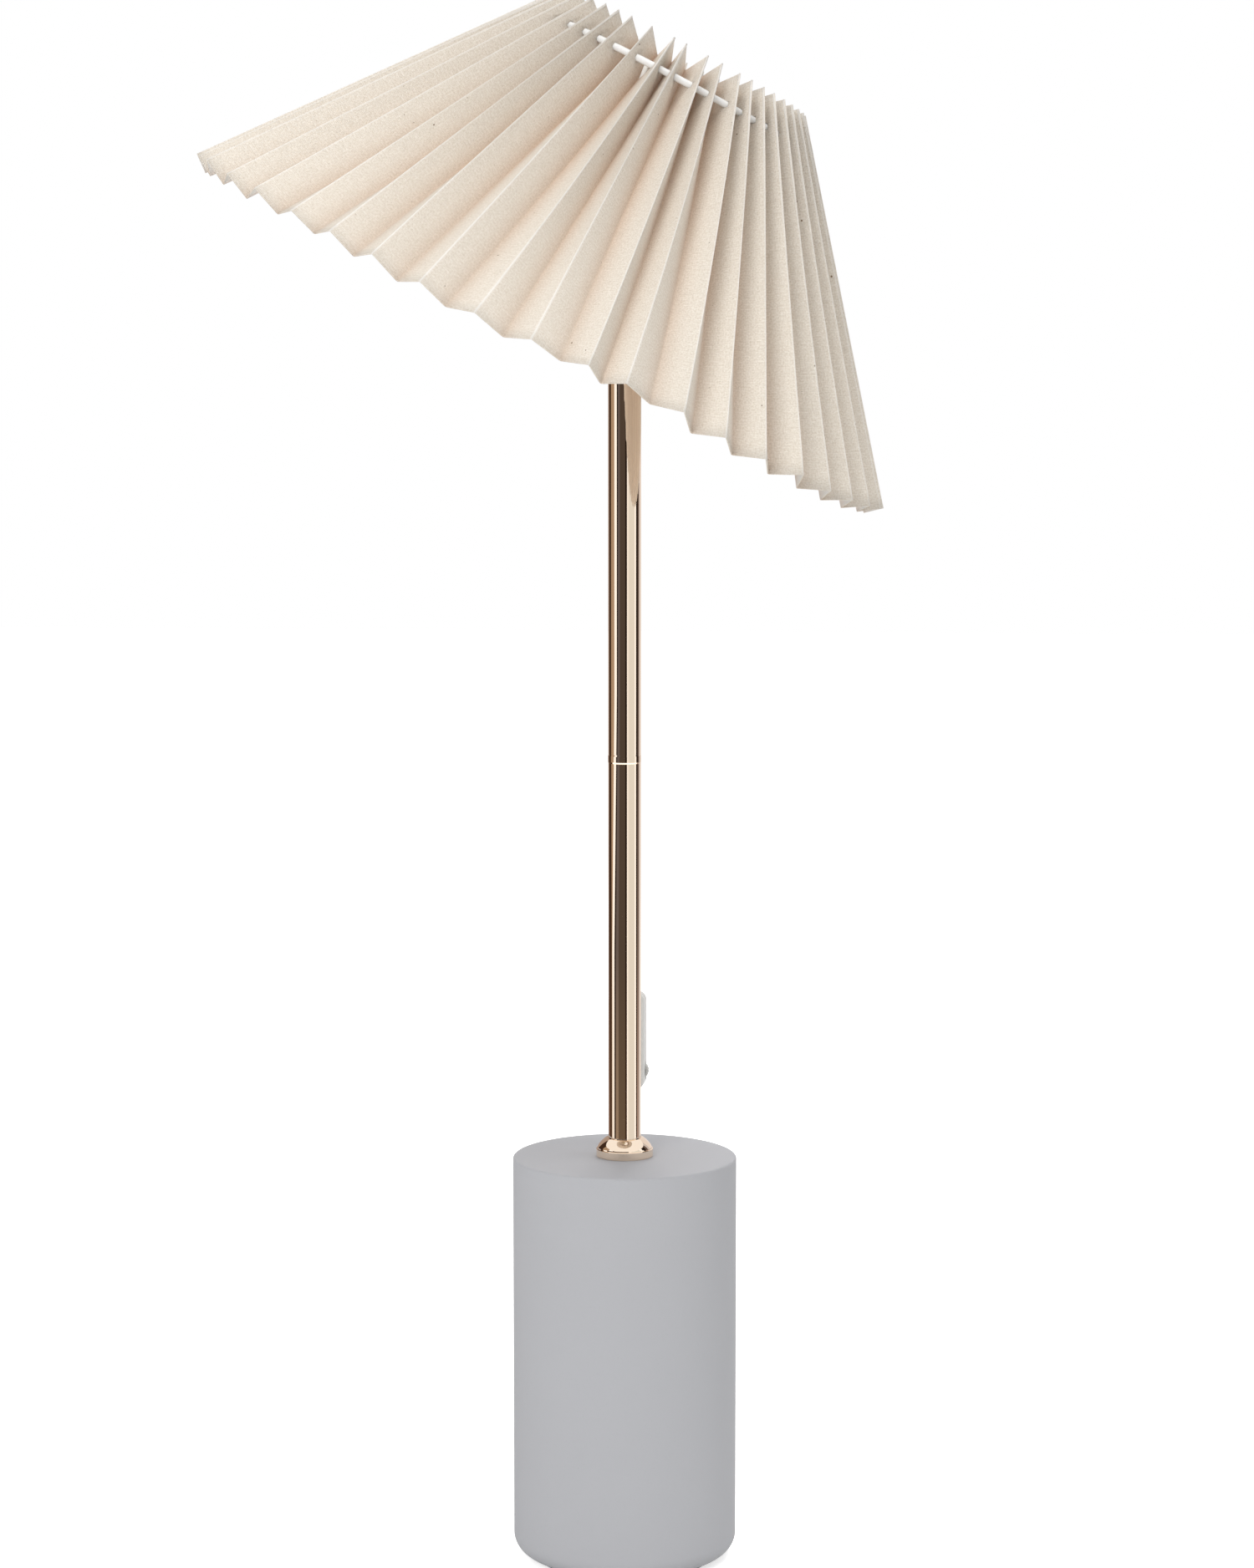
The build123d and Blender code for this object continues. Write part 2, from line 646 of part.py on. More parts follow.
def biarc(start, leave, end, arrive):
    """Two arcs that leave start and arrive at end along the given directions."""
    span = end - start
    turn = leave + arrive
    bend = 2 * (1 - leave.dot(arrive))
    reach = (math.sqrt(span.dot(turn) ** 2 + bend * span.dot(span)) - span.dot(turn)) / bend
    knee_in, knee_out = start + leave * reach, end - arrive * reach
    join = (knee_in + knee_out) * 0.5
    across = (knee_out - knee_in).normalized()
    return [Edge.make_tangent_arc(start, leave, join), Edge.make_tangent_arc(join, across, end)]


def cord_coil():
    """The put-away length, wound in two layers from one unbroken cord."""
    total = coil_total()
    stops = [90 * i for i in range(4 * coil_turns + 2)]
    rest = total - stops[-1] - 90
    steps = round(rest / 90)
    stops += [stops[-1] + 90 + rest * i / steps for i in range(steps + 1)]
    arcs = []
    for low, high in zip(stops, stops[1:]):
        arcs += biarc(coil_point(low), coil_heading(low), coil_point(high), coil_heading(high))
    path = Wire(arcs)
    section = Plane(coil_point(0), z_dir=coil_heading(0)) * Circle(cord_dia / 2)
    solid = sweep(section, path)
    count = 900
    line = [path.position_at(i / count) for i in range(count + 1)]
    spacing = path.length / count
    skip = int(4 * cord_dia / spacing)
    gap = min(
        (line[i] - line[j]).length for i in range(0, count + 1, 2) for j in range(i + skip, count + 1)
    ) - cord_dia
    ideal = math.pi * cord_dia**2 / 4 * path.length
    share = solid.volume / ideal
    print(f"cord_coil: length {path.length:.0f}, volume share {share:.4f}, least gap {gap:.2f}")
    return solid


def tail_points():
    """From the coil's end to the plug, with one slight bend."""
    total = coil_total()
    start, heading = coil_point(total), coil_heading(total - 0.02)
    heading = Vector(heading.X, heading.Y, 0).normalized()
    side = Vector(-heading.Y, heading.X, 0)
    return [start] + [start + heading * forward + side * aside for forward, aside in tail_runs]


def plug_parts():
    """The moulded two-blade plug, lying flat at the end of the cord."""
    points = tail_points()
    forward = (points[-1] - points[-2]).normalized()
    place = Location(Plane(origin=points[-1], x_dir=Vector(-forward.Y, forward.X, 0), z_dir=forward))
    width, thick = plug_width, plug_thick
    body = Pos(0, 0, plug_neck + plug_length / 2) * Box(width, thick, plug_length)
    body = fillet(body.edges().filter_by(Axis.Z) + body.edges().group_by(Axis.Z)[0], plug_fillet)
    body += Solid.make_cone(cord_dia / 2 + neck_round, cord_dia / 2 + neck_flare, plug_neck + 1)
    blades = []
    seat_low = plug_neck + plug_length - blade_seat
    for side in (-1, 1):
        stand = Pos(side * blade_spacing / 2, 0, seat_low)
        body -= stand * standing_box(blade_thick + 2 * SLIP, blade_width + 2 * SLIP, blade_length)
        blades.append(place * stand * standing_box(blade_thick, blade_width, blade_length + blade_seat))
    return {"plug_body": place * body, "plug_blades": Compound(children=[b.solids()[0] for b in blades])}


def cord_parts():
    """The free stretches of the cord, the coil and the plug."""
    start = coil_point(0)
    upper = [(0, cord_back, grip_low), *upper_route, (switch_x, cord_back, switch_high)]
    lead = start - coil_heading(0) * coil_lead
    lower = [(switch_x, cord_back, switch_low), *lower_route, tuple(lead), tuple(start)]
    return {
        "cord_upper": tube("cord_upper", upper),
        "cord_lower": tube("cord_lower", lower),
        "cord_coil": cord_coil(),
        "cord_tail": tube("cord_tail", [tuple(p) for p in tail_points()]),
        **plug_parts(),
    }


def main():
    parts = {**base_parts(), **stem_parts(), **knuckle_parts(), **outlet_parts()}
    parts.update({**switch_parts(), **cord_parts()})
    head = {**head_parts(), **bulb_parts(), **shade_frame_parts(), "shade_cloth": shade_cloth()}
    parts.update({name: head_frame * solid for name, solid in head.items()})
    os.makedirs("parts", exist_ok=True)
    for name, solid in parts.items():
        solid.label = name
        export_step(solid, f"parts/{name}.step")
    print(len(parts), "parts")


main()
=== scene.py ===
# %% [markdown]
# # A linen table lamp
#
# A heavy cast base, a two-part polished stem and a pleated linen shade on a tilting head.
# The solids of the lamp are loaded first as a fixed frame. Each later cell finishes one piece:
# a solid whose shape is already right gets a material, and one that needs folds, threads or
# rounded edges is replaced by a finer mesh in exactly the same place.

# %% Load the frame
import json
import math
import random

import bpy
import bmesh
from mathutils import Matrix, Vector

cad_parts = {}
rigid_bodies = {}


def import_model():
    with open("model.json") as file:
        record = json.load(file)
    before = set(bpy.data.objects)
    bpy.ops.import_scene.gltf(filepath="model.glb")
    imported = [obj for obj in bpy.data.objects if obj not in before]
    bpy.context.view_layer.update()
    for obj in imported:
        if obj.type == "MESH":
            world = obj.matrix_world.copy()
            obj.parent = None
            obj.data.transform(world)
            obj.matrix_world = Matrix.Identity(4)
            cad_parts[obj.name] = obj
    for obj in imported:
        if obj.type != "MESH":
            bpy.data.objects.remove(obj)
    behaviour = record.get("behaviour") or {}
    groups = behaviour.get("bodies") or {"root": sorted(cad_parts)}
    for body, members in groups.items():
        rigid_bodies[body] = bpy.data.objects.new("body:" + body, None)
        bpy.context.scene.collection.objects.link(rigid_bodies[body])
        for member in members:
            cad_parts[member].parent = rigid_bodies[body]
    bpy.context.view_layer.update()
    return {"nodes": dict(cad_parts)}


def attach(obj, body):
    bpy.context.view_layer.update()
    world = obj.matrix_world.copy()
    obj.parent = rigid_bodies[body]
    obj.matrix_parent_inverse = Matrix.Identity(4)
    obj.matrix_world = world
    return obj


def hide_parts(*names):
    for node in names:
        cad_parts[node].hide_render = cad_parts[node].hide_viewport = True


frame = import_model()
nodes = frame["nodes"]
print(len(nodes), "solids in the frame")

# %% [markdown]
# ## The camera
#
# The picture is taken from the front, a little to the right, with a long lens at about seven tenths
# of the lamp's height. A long lens keeps the stem's sides parallel. The camera is placed by its
# distance and direction from the stem's axis, which is how a photographer would pace it out.

# %% Camera
distance, height = 1.6225, 0.5404
around, heading, down = math.radians(6.68), math.radians(6.64), math.radians(5.51)

camera_data = bpy.data.cameras.new("camera")
camera_data.sensor_fit = "VERTICAL"
camera_data.sensor_height = 36.0
camera_data.lens = 76.76
camera = bpy.data.objects.new("camera", camera_data)
bpy.context.scene.collection.objects.link(camera)
camera.location = (distance * math.sin(around), -distance * math.cos(around), height)
look = Vector((-math.sin(heading) * math.cos(down), math.cos(heading) * math.cos(down), -math.sin(down)))
camera.rotation_euler = look.to_track_quat("-Z", "Y").to_euler()
bpy.context.scene.camera = camera
bpy.context.scene.view_settings.view_transform = "Standard"
print("camera at", [round(v, 3) for v in camera.location])

# %% [markdown]
# ## Small tools for making pieces
#
# Every piece is a mesh of rings, strips or outlines, so a few short helpers are enough. One of them
# puts the mesh in the scene and rides it on the body that carries it.

# %% Helpers for meshes
def place_piece(name, mesh, body, stands_for=(), sharp=38):
    """Puts a mesh in the scene as a piece that rides on a body."""
    mesh.validate()
    mesh.shade_smooth()
    mesh.set_sharp_from_angle(angle=math.radians(sharp))
    piece = bpy.data.objects.new(name, mesh)
    bpy.context.scene.collection.objects.link(piece)
    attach(piece, body)
    if stands_for:
        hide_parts(*stands_for)
    return piece


def mesh_of(points, faces):
    """A mesh whose faces all look outwards."""
    mesh = bpy.data.meshes.new("mesh")
    mesh.from_pydata([tuple(p) for p in points], [], faces)
    work = bmesh.new()
    work.from_mesh(mesh)
    bmesh.ops.recalc_face_normals(work, faces=work.faces)
    work.to_mesh(mesh)
    work.free()
    return mesh


def ring_rows(rows, close_ends=True):
    """Faces between rows of points that each go once round."""
    points, faces = [], []
    count = len(rows[0])
    for row in rows:
        points += row
    for j in range(len(rows) - 1):
        for i in range(count):
            a, b = j * count + i, j * count + (i + 1) % count
            faces.append((a, b, b + count, a + count))
    if close_ends:
        faces.append(tuple(range(count))[::-1])
        faces.append(tuple(range((len(rows) - 1) * count, len(rows) * count)))
    return points, faces


def lathe(profile, steps=96, matrix=Matrix()):
    """A mesh turned about the local Z axis from (radius, height) points, closed where they close."""
    closed = profile[0] == profile[-1]
    rows = profile[:-1] if closed else profile
    points, faces, starts = [], [], []
    for r, z in rows:
        starts.append(len(points))
        turns = 1 if r < 1e-7 else steps
        for i in range(turns):
            a = 2 * math.pi * i / turns
            points.append(matrix @ Vector((r * math.cos(a), r * math.sin(a), z)))
    pairs = list(zip(range(len(rows)), range(1, len(rows))))
    if closed:
        pairs.append((len(rows) - 1, 0))
    for j, k in pairs:
        thin_j, thin_k = rows[j][0] < 1e-7, rows[k][0] < 1e-7
        for i in range(steps):
            n = (i + 1) % steps
            a, b, c, d = starts[j] + i, starts[j] + n, starts[k] + n, starts[k] + i
            if thin_j and thin_k:
                continue
            if thin_j:
                faces.append((starts[j], c, d))
            elif thin_k:
                faces.append((a, b, starts[k]))
            else:
                faces.append((a, b, c, d))
    return mesh_of(points, faces)


# %% [markdown]
# ## The cord
#
# A mains lead is one length of soft flex, so it is one curve: straight out of the grip, slack behind
# the stem, through the switch, over the back of the base and down to the table. The length that the
# lamp doesn't need lies behind it as a small coil in two layers. The curve is a smooth spline that is
# pulled towards its control points, and the coil's turns are more points of the same spline.

# %% Cord
cord_dia = 0.005
free_points = [
    (0.0, 28.0, 626.0), (0.0, 28.0, 586.0), (0.9, 26.9, 540.0), (1.2, 26.3, 476.0), (0.2, 27.0, 412.0),
    (-1.4, 28.4, 352.0), (-2.3, 28.0, 312.0), (-2.3, 28.0, 277.0), (-2.3, 28.0, 229.0),
    (-2.3, 28.0, 221.0), (-3.0, 32.6, 213.6), (-4.6, 43.0, 209.2), (-6.6, 56.4, 208.8),
    (-8.4, 69.4, 204.8), (-9.9, 79.4, 196.2), (-10.9, 84.6, 183.9), (-11.5, 85.3, 169.0),
    (-12.1, 82.8, 142.0), (-13.0, 77.7, 113.0), (-13.6, 73.6, 86.0), (-14.2, 70.8, 62.0),
    (-14.6, 69.6, 41.4), (-14.3, 68.9, 24.9), (-8.2, 73.9, 10.5),
]
coil_middle = Vector((-13.0, 120.5))
coil_outer, coil_pitch, coil_turns, coil_low, coil_rise = 36.6, 5.6, 3, 2.5, 5.6
coil_start, coil_exit = -45, 42  # degrees
coil_lead = 15.7
points_a_turn = 15


def coil_point(turned):
    """A point of the coil, in mm: in along the lower layer, up in half a turn, out along the upper."""
    inward = 360 * coil_turns
    drop = coil_pitch / 360
    share = min(max((turned - inward) / 180, 0), 1)
    radius = coil_outer - drop * min(turned, inward) + drop * max(turned - inward - 180, 0)
    radius -= drop * 180 * min(share, 1 - share)
    a = math.radians(turned + coil_start)
    level = coil_low + coil_rise * share * share * (3 - 2 * share)
    return Vector((coil_middle.x + radius * math.cos(a), coil_middle.y + radius * math.sin(a), level))


coil_turned = 360 * 2 * coil_turns + 180 + (coil_exit - coil_start - 180) % 360 - 360
coil_in = (coil_point(0.01) - coil_point(0)).normalized()
coil_out = (coil_point(coil_turned) - coil_point(coil_turned - 0.02)).normalized()
aside = Vector((-coil_out.y, coil_out.x, 0))
steps = round(coil_turned / 360 * points_a_turn)
route = [Vector(p) for p in free_points]
route.append(coil_point(0) - coil_in * coil_lead)
route += [coil_point(coil_turned * i / steps) for i in range(steps + 1)]
route += [route[-1] + coil_out * f + aside * s for f, s in ((13, 0.0), (27, 1.4), (41, 1.8))]
route = [p / 1000 for p in route]
plug_seat, plug_heading = route[-1], (route[-1] - route[-2]).normalized()

curve = bpy.data.curves.new("cord", "CURVE")
curve.dimensions = "3D"
curve.bevel_depth = 1.0
curve.bevel_resolution = 6
curve.resolution_u = 10
curve.use_fill_caps = True
spline = curve.splines.new("NURBS")
spline.points.add(len(route) - 1)
for control, p in zip(spline.points, route):
    control.co = (*p, 1.0)
    control.radius = cord_dia / 2
spline.order_u = 3
spline.use_endpoint_u = True
cord = bpy.data.objects.new("cord", curve)
bpy.context.scene.collection.objects.link(cord)
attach(cord, "stand")
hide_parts("cord_upper", "cord_lower", "cord_coil", "cord_tail")
print(len(route), "control points; spline length", round(spline.calc_length(), 3), "m")

# %% [markdown]
# ## The studio
#
# The lamp stands on a plain pale table in soft light. Four things light it: an even white room, a
# large soft lamp at the front left, one behind that also reaches the top of the base, and a weaker
# one high on the right. Polished metal has no colour of its own to show, it only shows the room, so
# black flags and white boards stand round the lamp where the stem can see them. They are seen by
# reflections alone and throw no light or shade.

# %% Table and room
def shader_nodes(tree):
    """A short way to add a node with its inputs set and joined."""
    def add(kind, inputs=None, **settings):
        made = tree.nodes.new(kind)
        for key, value in settings.items():
            setattr(made, key, value)
        for key, value in (inputs or {}).items():
            if isinstance(value, bpy.types.NodeSocket):
                tree.links.new(value, made.inputs[key])
            else:
                made.inputs[key].default_value = value
        return made
    return add


def new_material(name):
    """A material with an empty node tree, its adder and its output node."""
    material = bpy.data.materials.new(name)
    material.use_nodes = True
    material.node_tree.nodes.clear()
    add = shader_nodes(material.node_tree)
    return material, add, add("ShaderNodeOutputMaterial")


def seen_directly(add):
    """1 where the camera, a reflection or clear glass looks, and 0 for light that falls on things."""
    ray = add("ShaderNodeLightPath").outputs
    seen = add("ShaderNodeMath", {0: ray["Is Camera Ray"], 1: ray["Is Glossy Ray"]}, operation="MAXIMUM")
    seen = add("ShaderNodeMath", {0: seen.outputs[0], 1: ray["Is Transmission Ray"]}, operation="MAXIMUM")
    return seen.outputs[0]


room_light, table_glow, table_reach = 0.62, 0.62, 9
table_paint, add, out = new_material("pale_table")
where = add("ShaderNodeTexCoord")
mottle = add("ShaderNodeTexNoise", {"Vector": where.outputs["Object"], "Scale": 3.0, "Detail": 3.0})
tone = add("ShaderNodeMix", {"Factor": mottle.outputs["Fac"], "A": (0.80, 0.80, 0.79, 1),
                             "B": (0.84, 0.84, 0.83, 1)}, data_type="RGBA")
matt = add("ShaderNodeBsdfDiffuse", {"Color": tone.outputs["Result"]})
glow = add("ShaderNodeEmission", {"Color": (1, 1, 1, 1), "Strength": table_glow})
seen = seen_directly(add)
lift = add("ShaderNodeMixShader", {"Fac": seen})
both = add("ShaderNodeAddShader")
links = table_paint.node_tree.links
links.new(matt.outputs[0], both.inputs[0])
links.new(glow.outputs[0], both.inputs[1])
links.new(matt.outputs[0], lift.inputs[1])
links.new(both.outputs[0], lift.inputs[2])
links.new(lift.outputs[0], out.inputs["Surface"])

table_mesh = bpy.data.meshes.new("table")
table_mesh.from_pydata([(x * table_reach, y * table_reach, 0) for x, y in ((-1, -1), (1, -1), (1, 1), (-1, 1))],
                       [], [(0, 1, 2, 3)])
table = bpy.data.objects.new("table", table_mesh)
bpy.context.scene.collection.objects.link(table)
table.data.materials.append(table_paint)

world = bpy.data.worlds.new("white_room")
bpy.context.scene.world = world
world.use_nodes = True
world.node_tree.nodes.clear()
add = shader_nodes(world.node_tree)
seen = seen_directly(add)
strength = add("ShaderNodeMix", {"Factor": seen, "A": room_light, "B": 1.0}, data_type="FLOAT")
room = add("ShaderNodeBackground", {"Color": (1, 1, 1, 1), "Strength": strength.outputs["Result"]})
add("ShaderNodeOutputWorld", {"Surface": room.outputs[0]})

# %% Lamps
def soft_lamp(name, where_from, aim, size, power):
    """A square area lamp that points at a spot."""
    data = bpy.data.lights.new(name, "AREA")
    data.shape, data.size, data.energy = "SQUARE", size, power
    lamp = bpy.data.objects.new(name, data)
    bpy.context.scene.collection.objects.link(lamp)
    lamp.location = where_from
    lamp.rotation_euler = (Vector(aim) - Vector(where_from)).to_track_quat("-Z", "Y").to_euler()
    lamp.visible_glossy = False


soft_lamp("front", (-0.66, -2.38, 1.34), (0, 0, 0.42), 1.1, 29)
soft_lamp("back", (-0.15, 1.9, 1.55), (0, 0, 0.22), 0.9, 24)
soft_lamp("high_right", (0.75, -0.05, 2.25), (0.03, 0, 0.60), 0.9, 12)

# %% Flags and boards for the metal
# Each board is a strip of a tall open cylinder. Its two pairs of directions, in degrees from the
# camera's side, are its edges for the upper stem and for the foot, because some boards lean. The two
# tones are what the upper stem and the foot see there.
black, umber, smoke = (0.020, 0.012, 0.008), (0.050, 0.027, 0.017), (0.080, 0.062, 0.050)
brown, slate, cream = (0.42, 0.31, 0.22), (0.125, 0.110, 0.115), (0.80, 0.82, 0.81)
white, bright = (0.96, 0.96, 0.96), (1.12, 1.15, 1.20)
boards = [
    ("far_left_board", (-180, -140), (-180, -150), (0.42, 0.33, 0.28), (0.40, 0.30, 0.25)),
    ("left_flag", (-140, -110), (-122, -104), umber, umber),
    ("left_low_board", (-150, -140), (-150, -122), umber, (0.20, 0.12, 0.085)),
    ("left_warm_board", (-110, -77), (-104, -98), brown, brown),
    ("left_strip", (-77, -57), (-98, -78), bright, white),
    ("front_left_edge", (-57, -49), (-78, -65), black, umber),
    ("front_left_board", (-49, -34), (-65, -44), slate, (0.34, 0.26, 0.19)),
    ("front_flag", (-34, 4), (-44, 4), smoke, (0.150, 0.110, 0.075)),
    ("front_edge", (4, 16), (4, 16), black, umber),
    ("front_right_strip", (18, 28), (18, 28), white, white),
    ("front_right_board", (28, 74), (28, 74), cream, cream),
    ("right_strip", (74, 85), (74, 85), bright, bright),
    ("right_flag", (87, 106), (87, 98), black, umber),
    ("right_low_board", (106, 118), (98, 118), (0.14, 0.105, 0.095), (0.40, 0.31, 0.28)),
    ("far_right_board", (118, 131), (118, 131), (0.60, 0.58, 0.60), (0.60, 0.58, 0.60)),
    ("far_right_edge", (131, 180), (131, 180), (0.85, 0.80, 0.78), (0.85, 0.80, 0.78)),
]
# height of each row of a board, how far it leans there and how much of the lower tone it has
board_radius, board_rows = 0.85, ((0.002, 1.0, 1.0), (0.05, 1.0, 0.85), (0.18, 1.0, 0.1), (0.37, 0.0, 0.0),
                                  (0.85, 0.0, 0.0))
board_paint, add, out = new_material("studio_boards")
card_tone = add("ShaderNodeVertexColor", layer_name="tone")
card_glow = add("ShaderNodeEmission", {"Color": card_tone.outputs["Color"], "Strength": 1.0})
board_paint.node_tree.links.new(card_glow.outputs[0], out.inputs["Surface"])
for name, upper, lower, upper_tone, lower_tone in boards:
    count = 10
    points, tones = [], []
    for z, low, deep in board_rows:
        for i in range(count + 1):
            begin, end = (upper[k] * (1 - low) + lower[k] * low for k in (0, 1))
            a = math.radians(begin + (end - begin) * i / count - 90) + around
            points.append((board_radius * math.cos(a), board_radius * math.sin(a), z))
            tones.append((*(Vector(upper_tone) * (1 - deep) + Vector(lower_tone) * deep), 1.0))
    faces = [(j * (count + 1) + i, j * (count + 1) + i + 1, (j + 1) * (count + 1) + i + 1, (j + 1) * (count + 1) + i)
             for j in range(len(board_rows) - 1) for i in range(count)]
    mesh = bpy.data.meshes.new(name)
    mesh.from_pydata(points, [], faces)
    layer = mesh.color_attributes.new("tone", "FLOAT_COLOR", "POINT")
    for k, c in enumerate(tones):
        layer.data[k].color = c
    board = bpy.data.objects.new(name, mesh)
    bpy.context.scene.collection.objects.link(board)
    mesh.materials.append(board_paint)
    board.visible_camera = board.visible_diffuse = board.visible_shadow = False
    board.visible_transmission = board.visible_volume_scatter = False
print(len(boards), "boards round the lamp")

# %% [markdown]
# ## Effects that several finishes share
#
# Cloth, concrete, plastic and metal all have some fine unevenness. Three node groups make it once:
# a plain weave with slubs and flecks, a fine grain for cast and moulded surfaces, and the faint
# marks that polishing and handling leave on metal. They put out values only, and each material
# decides what these do to its colour, gloss and height.

# %% Node groups
def new_group(name, inputs, outputs):
    """An empty node group with its adder, its input node and its output node."""
    group = bpy.data.node_groups.new(name, "ShaderNodeTree")
    for label, kind, value in inputs:
        socket = group.interface.new_socket(label, in_out="INPUT", socket_type=kind)
        if value is not None:
            socket.default_value = value
    for label, kind in outputs:
        group.interface.new_socket(label, in_out="OUTPUT", socket_type=kind)
    add = shader_nodes(group)
    return group, add, add("NodeGroupInput"), add("NodeGroupOutput")


weave, add, given, result = new_group(
    "plain_weave",
    [("Vector", "NodeSocketVector", None), ("Threads", "NodeSocketFloat", 1250.0)],
    [("Thread", "NodeSocketFloat"), ("Slub", "NodeSocketFloat"), ("Fleck", "NodeSocketFloat")],
)
wander = add("ShaderNodeTexNoise", {"Vector": given.outputs["Vector"], "Scale": 220.0, "Detail": 2.0})
drift = add("ShaderNodeVectorMath", {0: wander.outputs["Color"], 1: (0.0006, 0.0006, 0.0)}, operation="MULTIPLY")
flow = add("ShaderNodeVectorMath", {0: given.outputs["Vector"], 1: drift.outputs[0]}, operation="ADD")
axes = add("ShaderNodeSeparateXYZ", {0: flow.outputs[0]})


def wave(axis):
    """The rise and fall of the threads along one axis of the cloth."""
    turns = add("ShaderNodeMath", {0: axes.outputs[axis], 1: given.outputs["Threads"]}, operation="MULTIPLY")
    angle = add("ShaderNodeMath", {0: turns.outputs[0], 1: math.pi}, operation="MULTIPLY")
    return add("ShaderNodeMath", {0: angle.outputs[0]}, operation="SINE")


along, across = wave("X"), wave("Y")
product = add("ShaderNodeMath", {0: along.outputs[0], 1: across.outputs[0]}, operation="MULTIPLY")
over = add("ShaderNodeMath", {0: product.outputs[0], 1: 0.0}, operation="GREATER_THAN")
warp = add("ShaderNodeMath", {0: along.outputs[0]}, operation="ABSOLUTE")
weft = add("ShaderNodeMath", {0: across.outputs[0]}, operation="ABSOLUTE")
thread = add("ShaderNodeMix", {"Factor": over.outputs[0], "A": warp.outputs[0], "B": weft.outputs[0]},
             data_type="FLOAT")


def streaks(stretch, low, high):
    """Noise drawn out along a thread, as 0 below one level and 1 above another."""
    scaled = add("ShaderNodeVectorMath", {0: given.outputs["Vector"], 1: stretch}, operation="MULTIPLY")
    noise = add("ShaderNodeTexNoise", {"Vector": scaled.outputs[0], "Scale": 1.0, "Detail": 3.0, "Roughness": 0.6})
    return add("ShaderNodeMapRange", {"Value": noise.outputs["Fac"], "From Min": low, "From Max": high})


weft_slub = streaks((190.0, 1500.0, 1.0), 0.38, 0.74)
warp_slub = streaks((1500.0, 210.0, 1.0), 0.42, 0.78)
slub = add("ShaderNodeMath", {0: weft_slub.outputs[0], 1: warp_slub.outputs[0]}, operation="MAXIMUM")
spots = add("ShaderNodeTexVoronoi", {"Vector": given.outputs["Vector"], "Scale": 105.0})
chosen = add("ShaderNodeSeparateColor", {"Color": spots.outputs["Color"]})
size = add("ShaderNodeMapRange", {"Value": chosen.outputs[0], "From Min": 0.45, "To Min": 0.0, "To Max": 0.055})
spot = add("ShaderNodeMath", {0: spots.outputs["Distance"], 1: size.outputs[0]}, operation="LESS_THAN")
stalk = streaks((420.0, 1100.0, 1.0), 0.70, 0.76)
fleck = add("ShaderNodeMath", {0: spot.outputs[0], 1: stalk.outputs[0]}, operation="MAXIMUM")
for label, value in (("Thread", thread.outputs["Result"]), ("Slub", slub.outputs[0]), ("Fleck", fleck.outputs[0])):
    weave.links.new(value, result.inputs[label])

grain, add, given, result = new_group(
    "fine_grain",
    [("Vector", "NodeSocketVector", None), ("Size", "NodeSocketFloat", 900.0), ("Patch", "NodeSocketFloat", 25.0)],
    [("Grain", "NodeSocketFloat"), ("Patches", "NodeSocketFloat"), ("Pores", "NodeSocketFloat")],
)
fine = add("ShaderNodeTexNoise", {"Vector": given.outputs["Vector"], "Scale": given.outputs["Size"], "Detail": 4.0})
broad = add("ShaderNodeTexNoise", {"Vector": given.outputs["Vector"], "Scale": given.outputs["Patch"], "Detail": 4.0})
cells = add("ShaderNodeTexVoronoi", {"Vector": given.outputs["Vector"], "Scale": given.outputs["Size"]})
pores = add("ShaderNodeMapRange", {"Value": cells.outputs["Distance"], "From Min": 0.05, "From Max": 0.16,
                                   "To Min": 1.0, "To Max": 0.0})
grain.links.new(fine.outputs["Fac"], result.inputs["Grain"])
grain.links.new(broad.outputs["Fac"], result.inputs["Patches"])
grain.links.new(pores.outputs[0], result.inputs["Pores"])

marks, add, given, result = new_group(
    "handling_marks",
    [("Vector", "NodeSocketVector", None), ("Stretch", "NodeSocketVector", (400.0, 400.0, 6.0))],
    [("Lines", "NodeSocketFloat"), ("Smudge", "NodeSocketFloat")],
)
scaled = add("ShaderNodeVectorMath", {0: given.outputs["Vector"], 1: given.outputs["Stretch"]}, operation="MULTIPLY")
lines = add("ShaderNodeTexNoise", {"Vector": scaled.outputs[0], "Scale": 1.0, "Detail": 3.0})
smudge = add("ShaderNodeTexNoise", {"Vector": given.outputs["Vector"], "Scale": 38.0, "Detail": 4.0,
                                    "Roughness": 0.65})
marks.links.new(lines.outputs["Fac"], result.inputs["Lines"])
marks.links.new(smudge.outputs["Fac"], result.inputs["Smudge"])
print("groups:", [g.name for g in (weave, grain, marks)])

# %% [markdown]
# ## Finishes for the hard pieces
#
# Plastic, paint and ceramic share one recipe: a colour that shifts a little in broad patches, a gloss
# that varies with the grain, and a bump too fine to see as shape. Metals share another: the colour is
# the metal's own tint, and polishing lines and finger marks only change how sharp the reflections are.

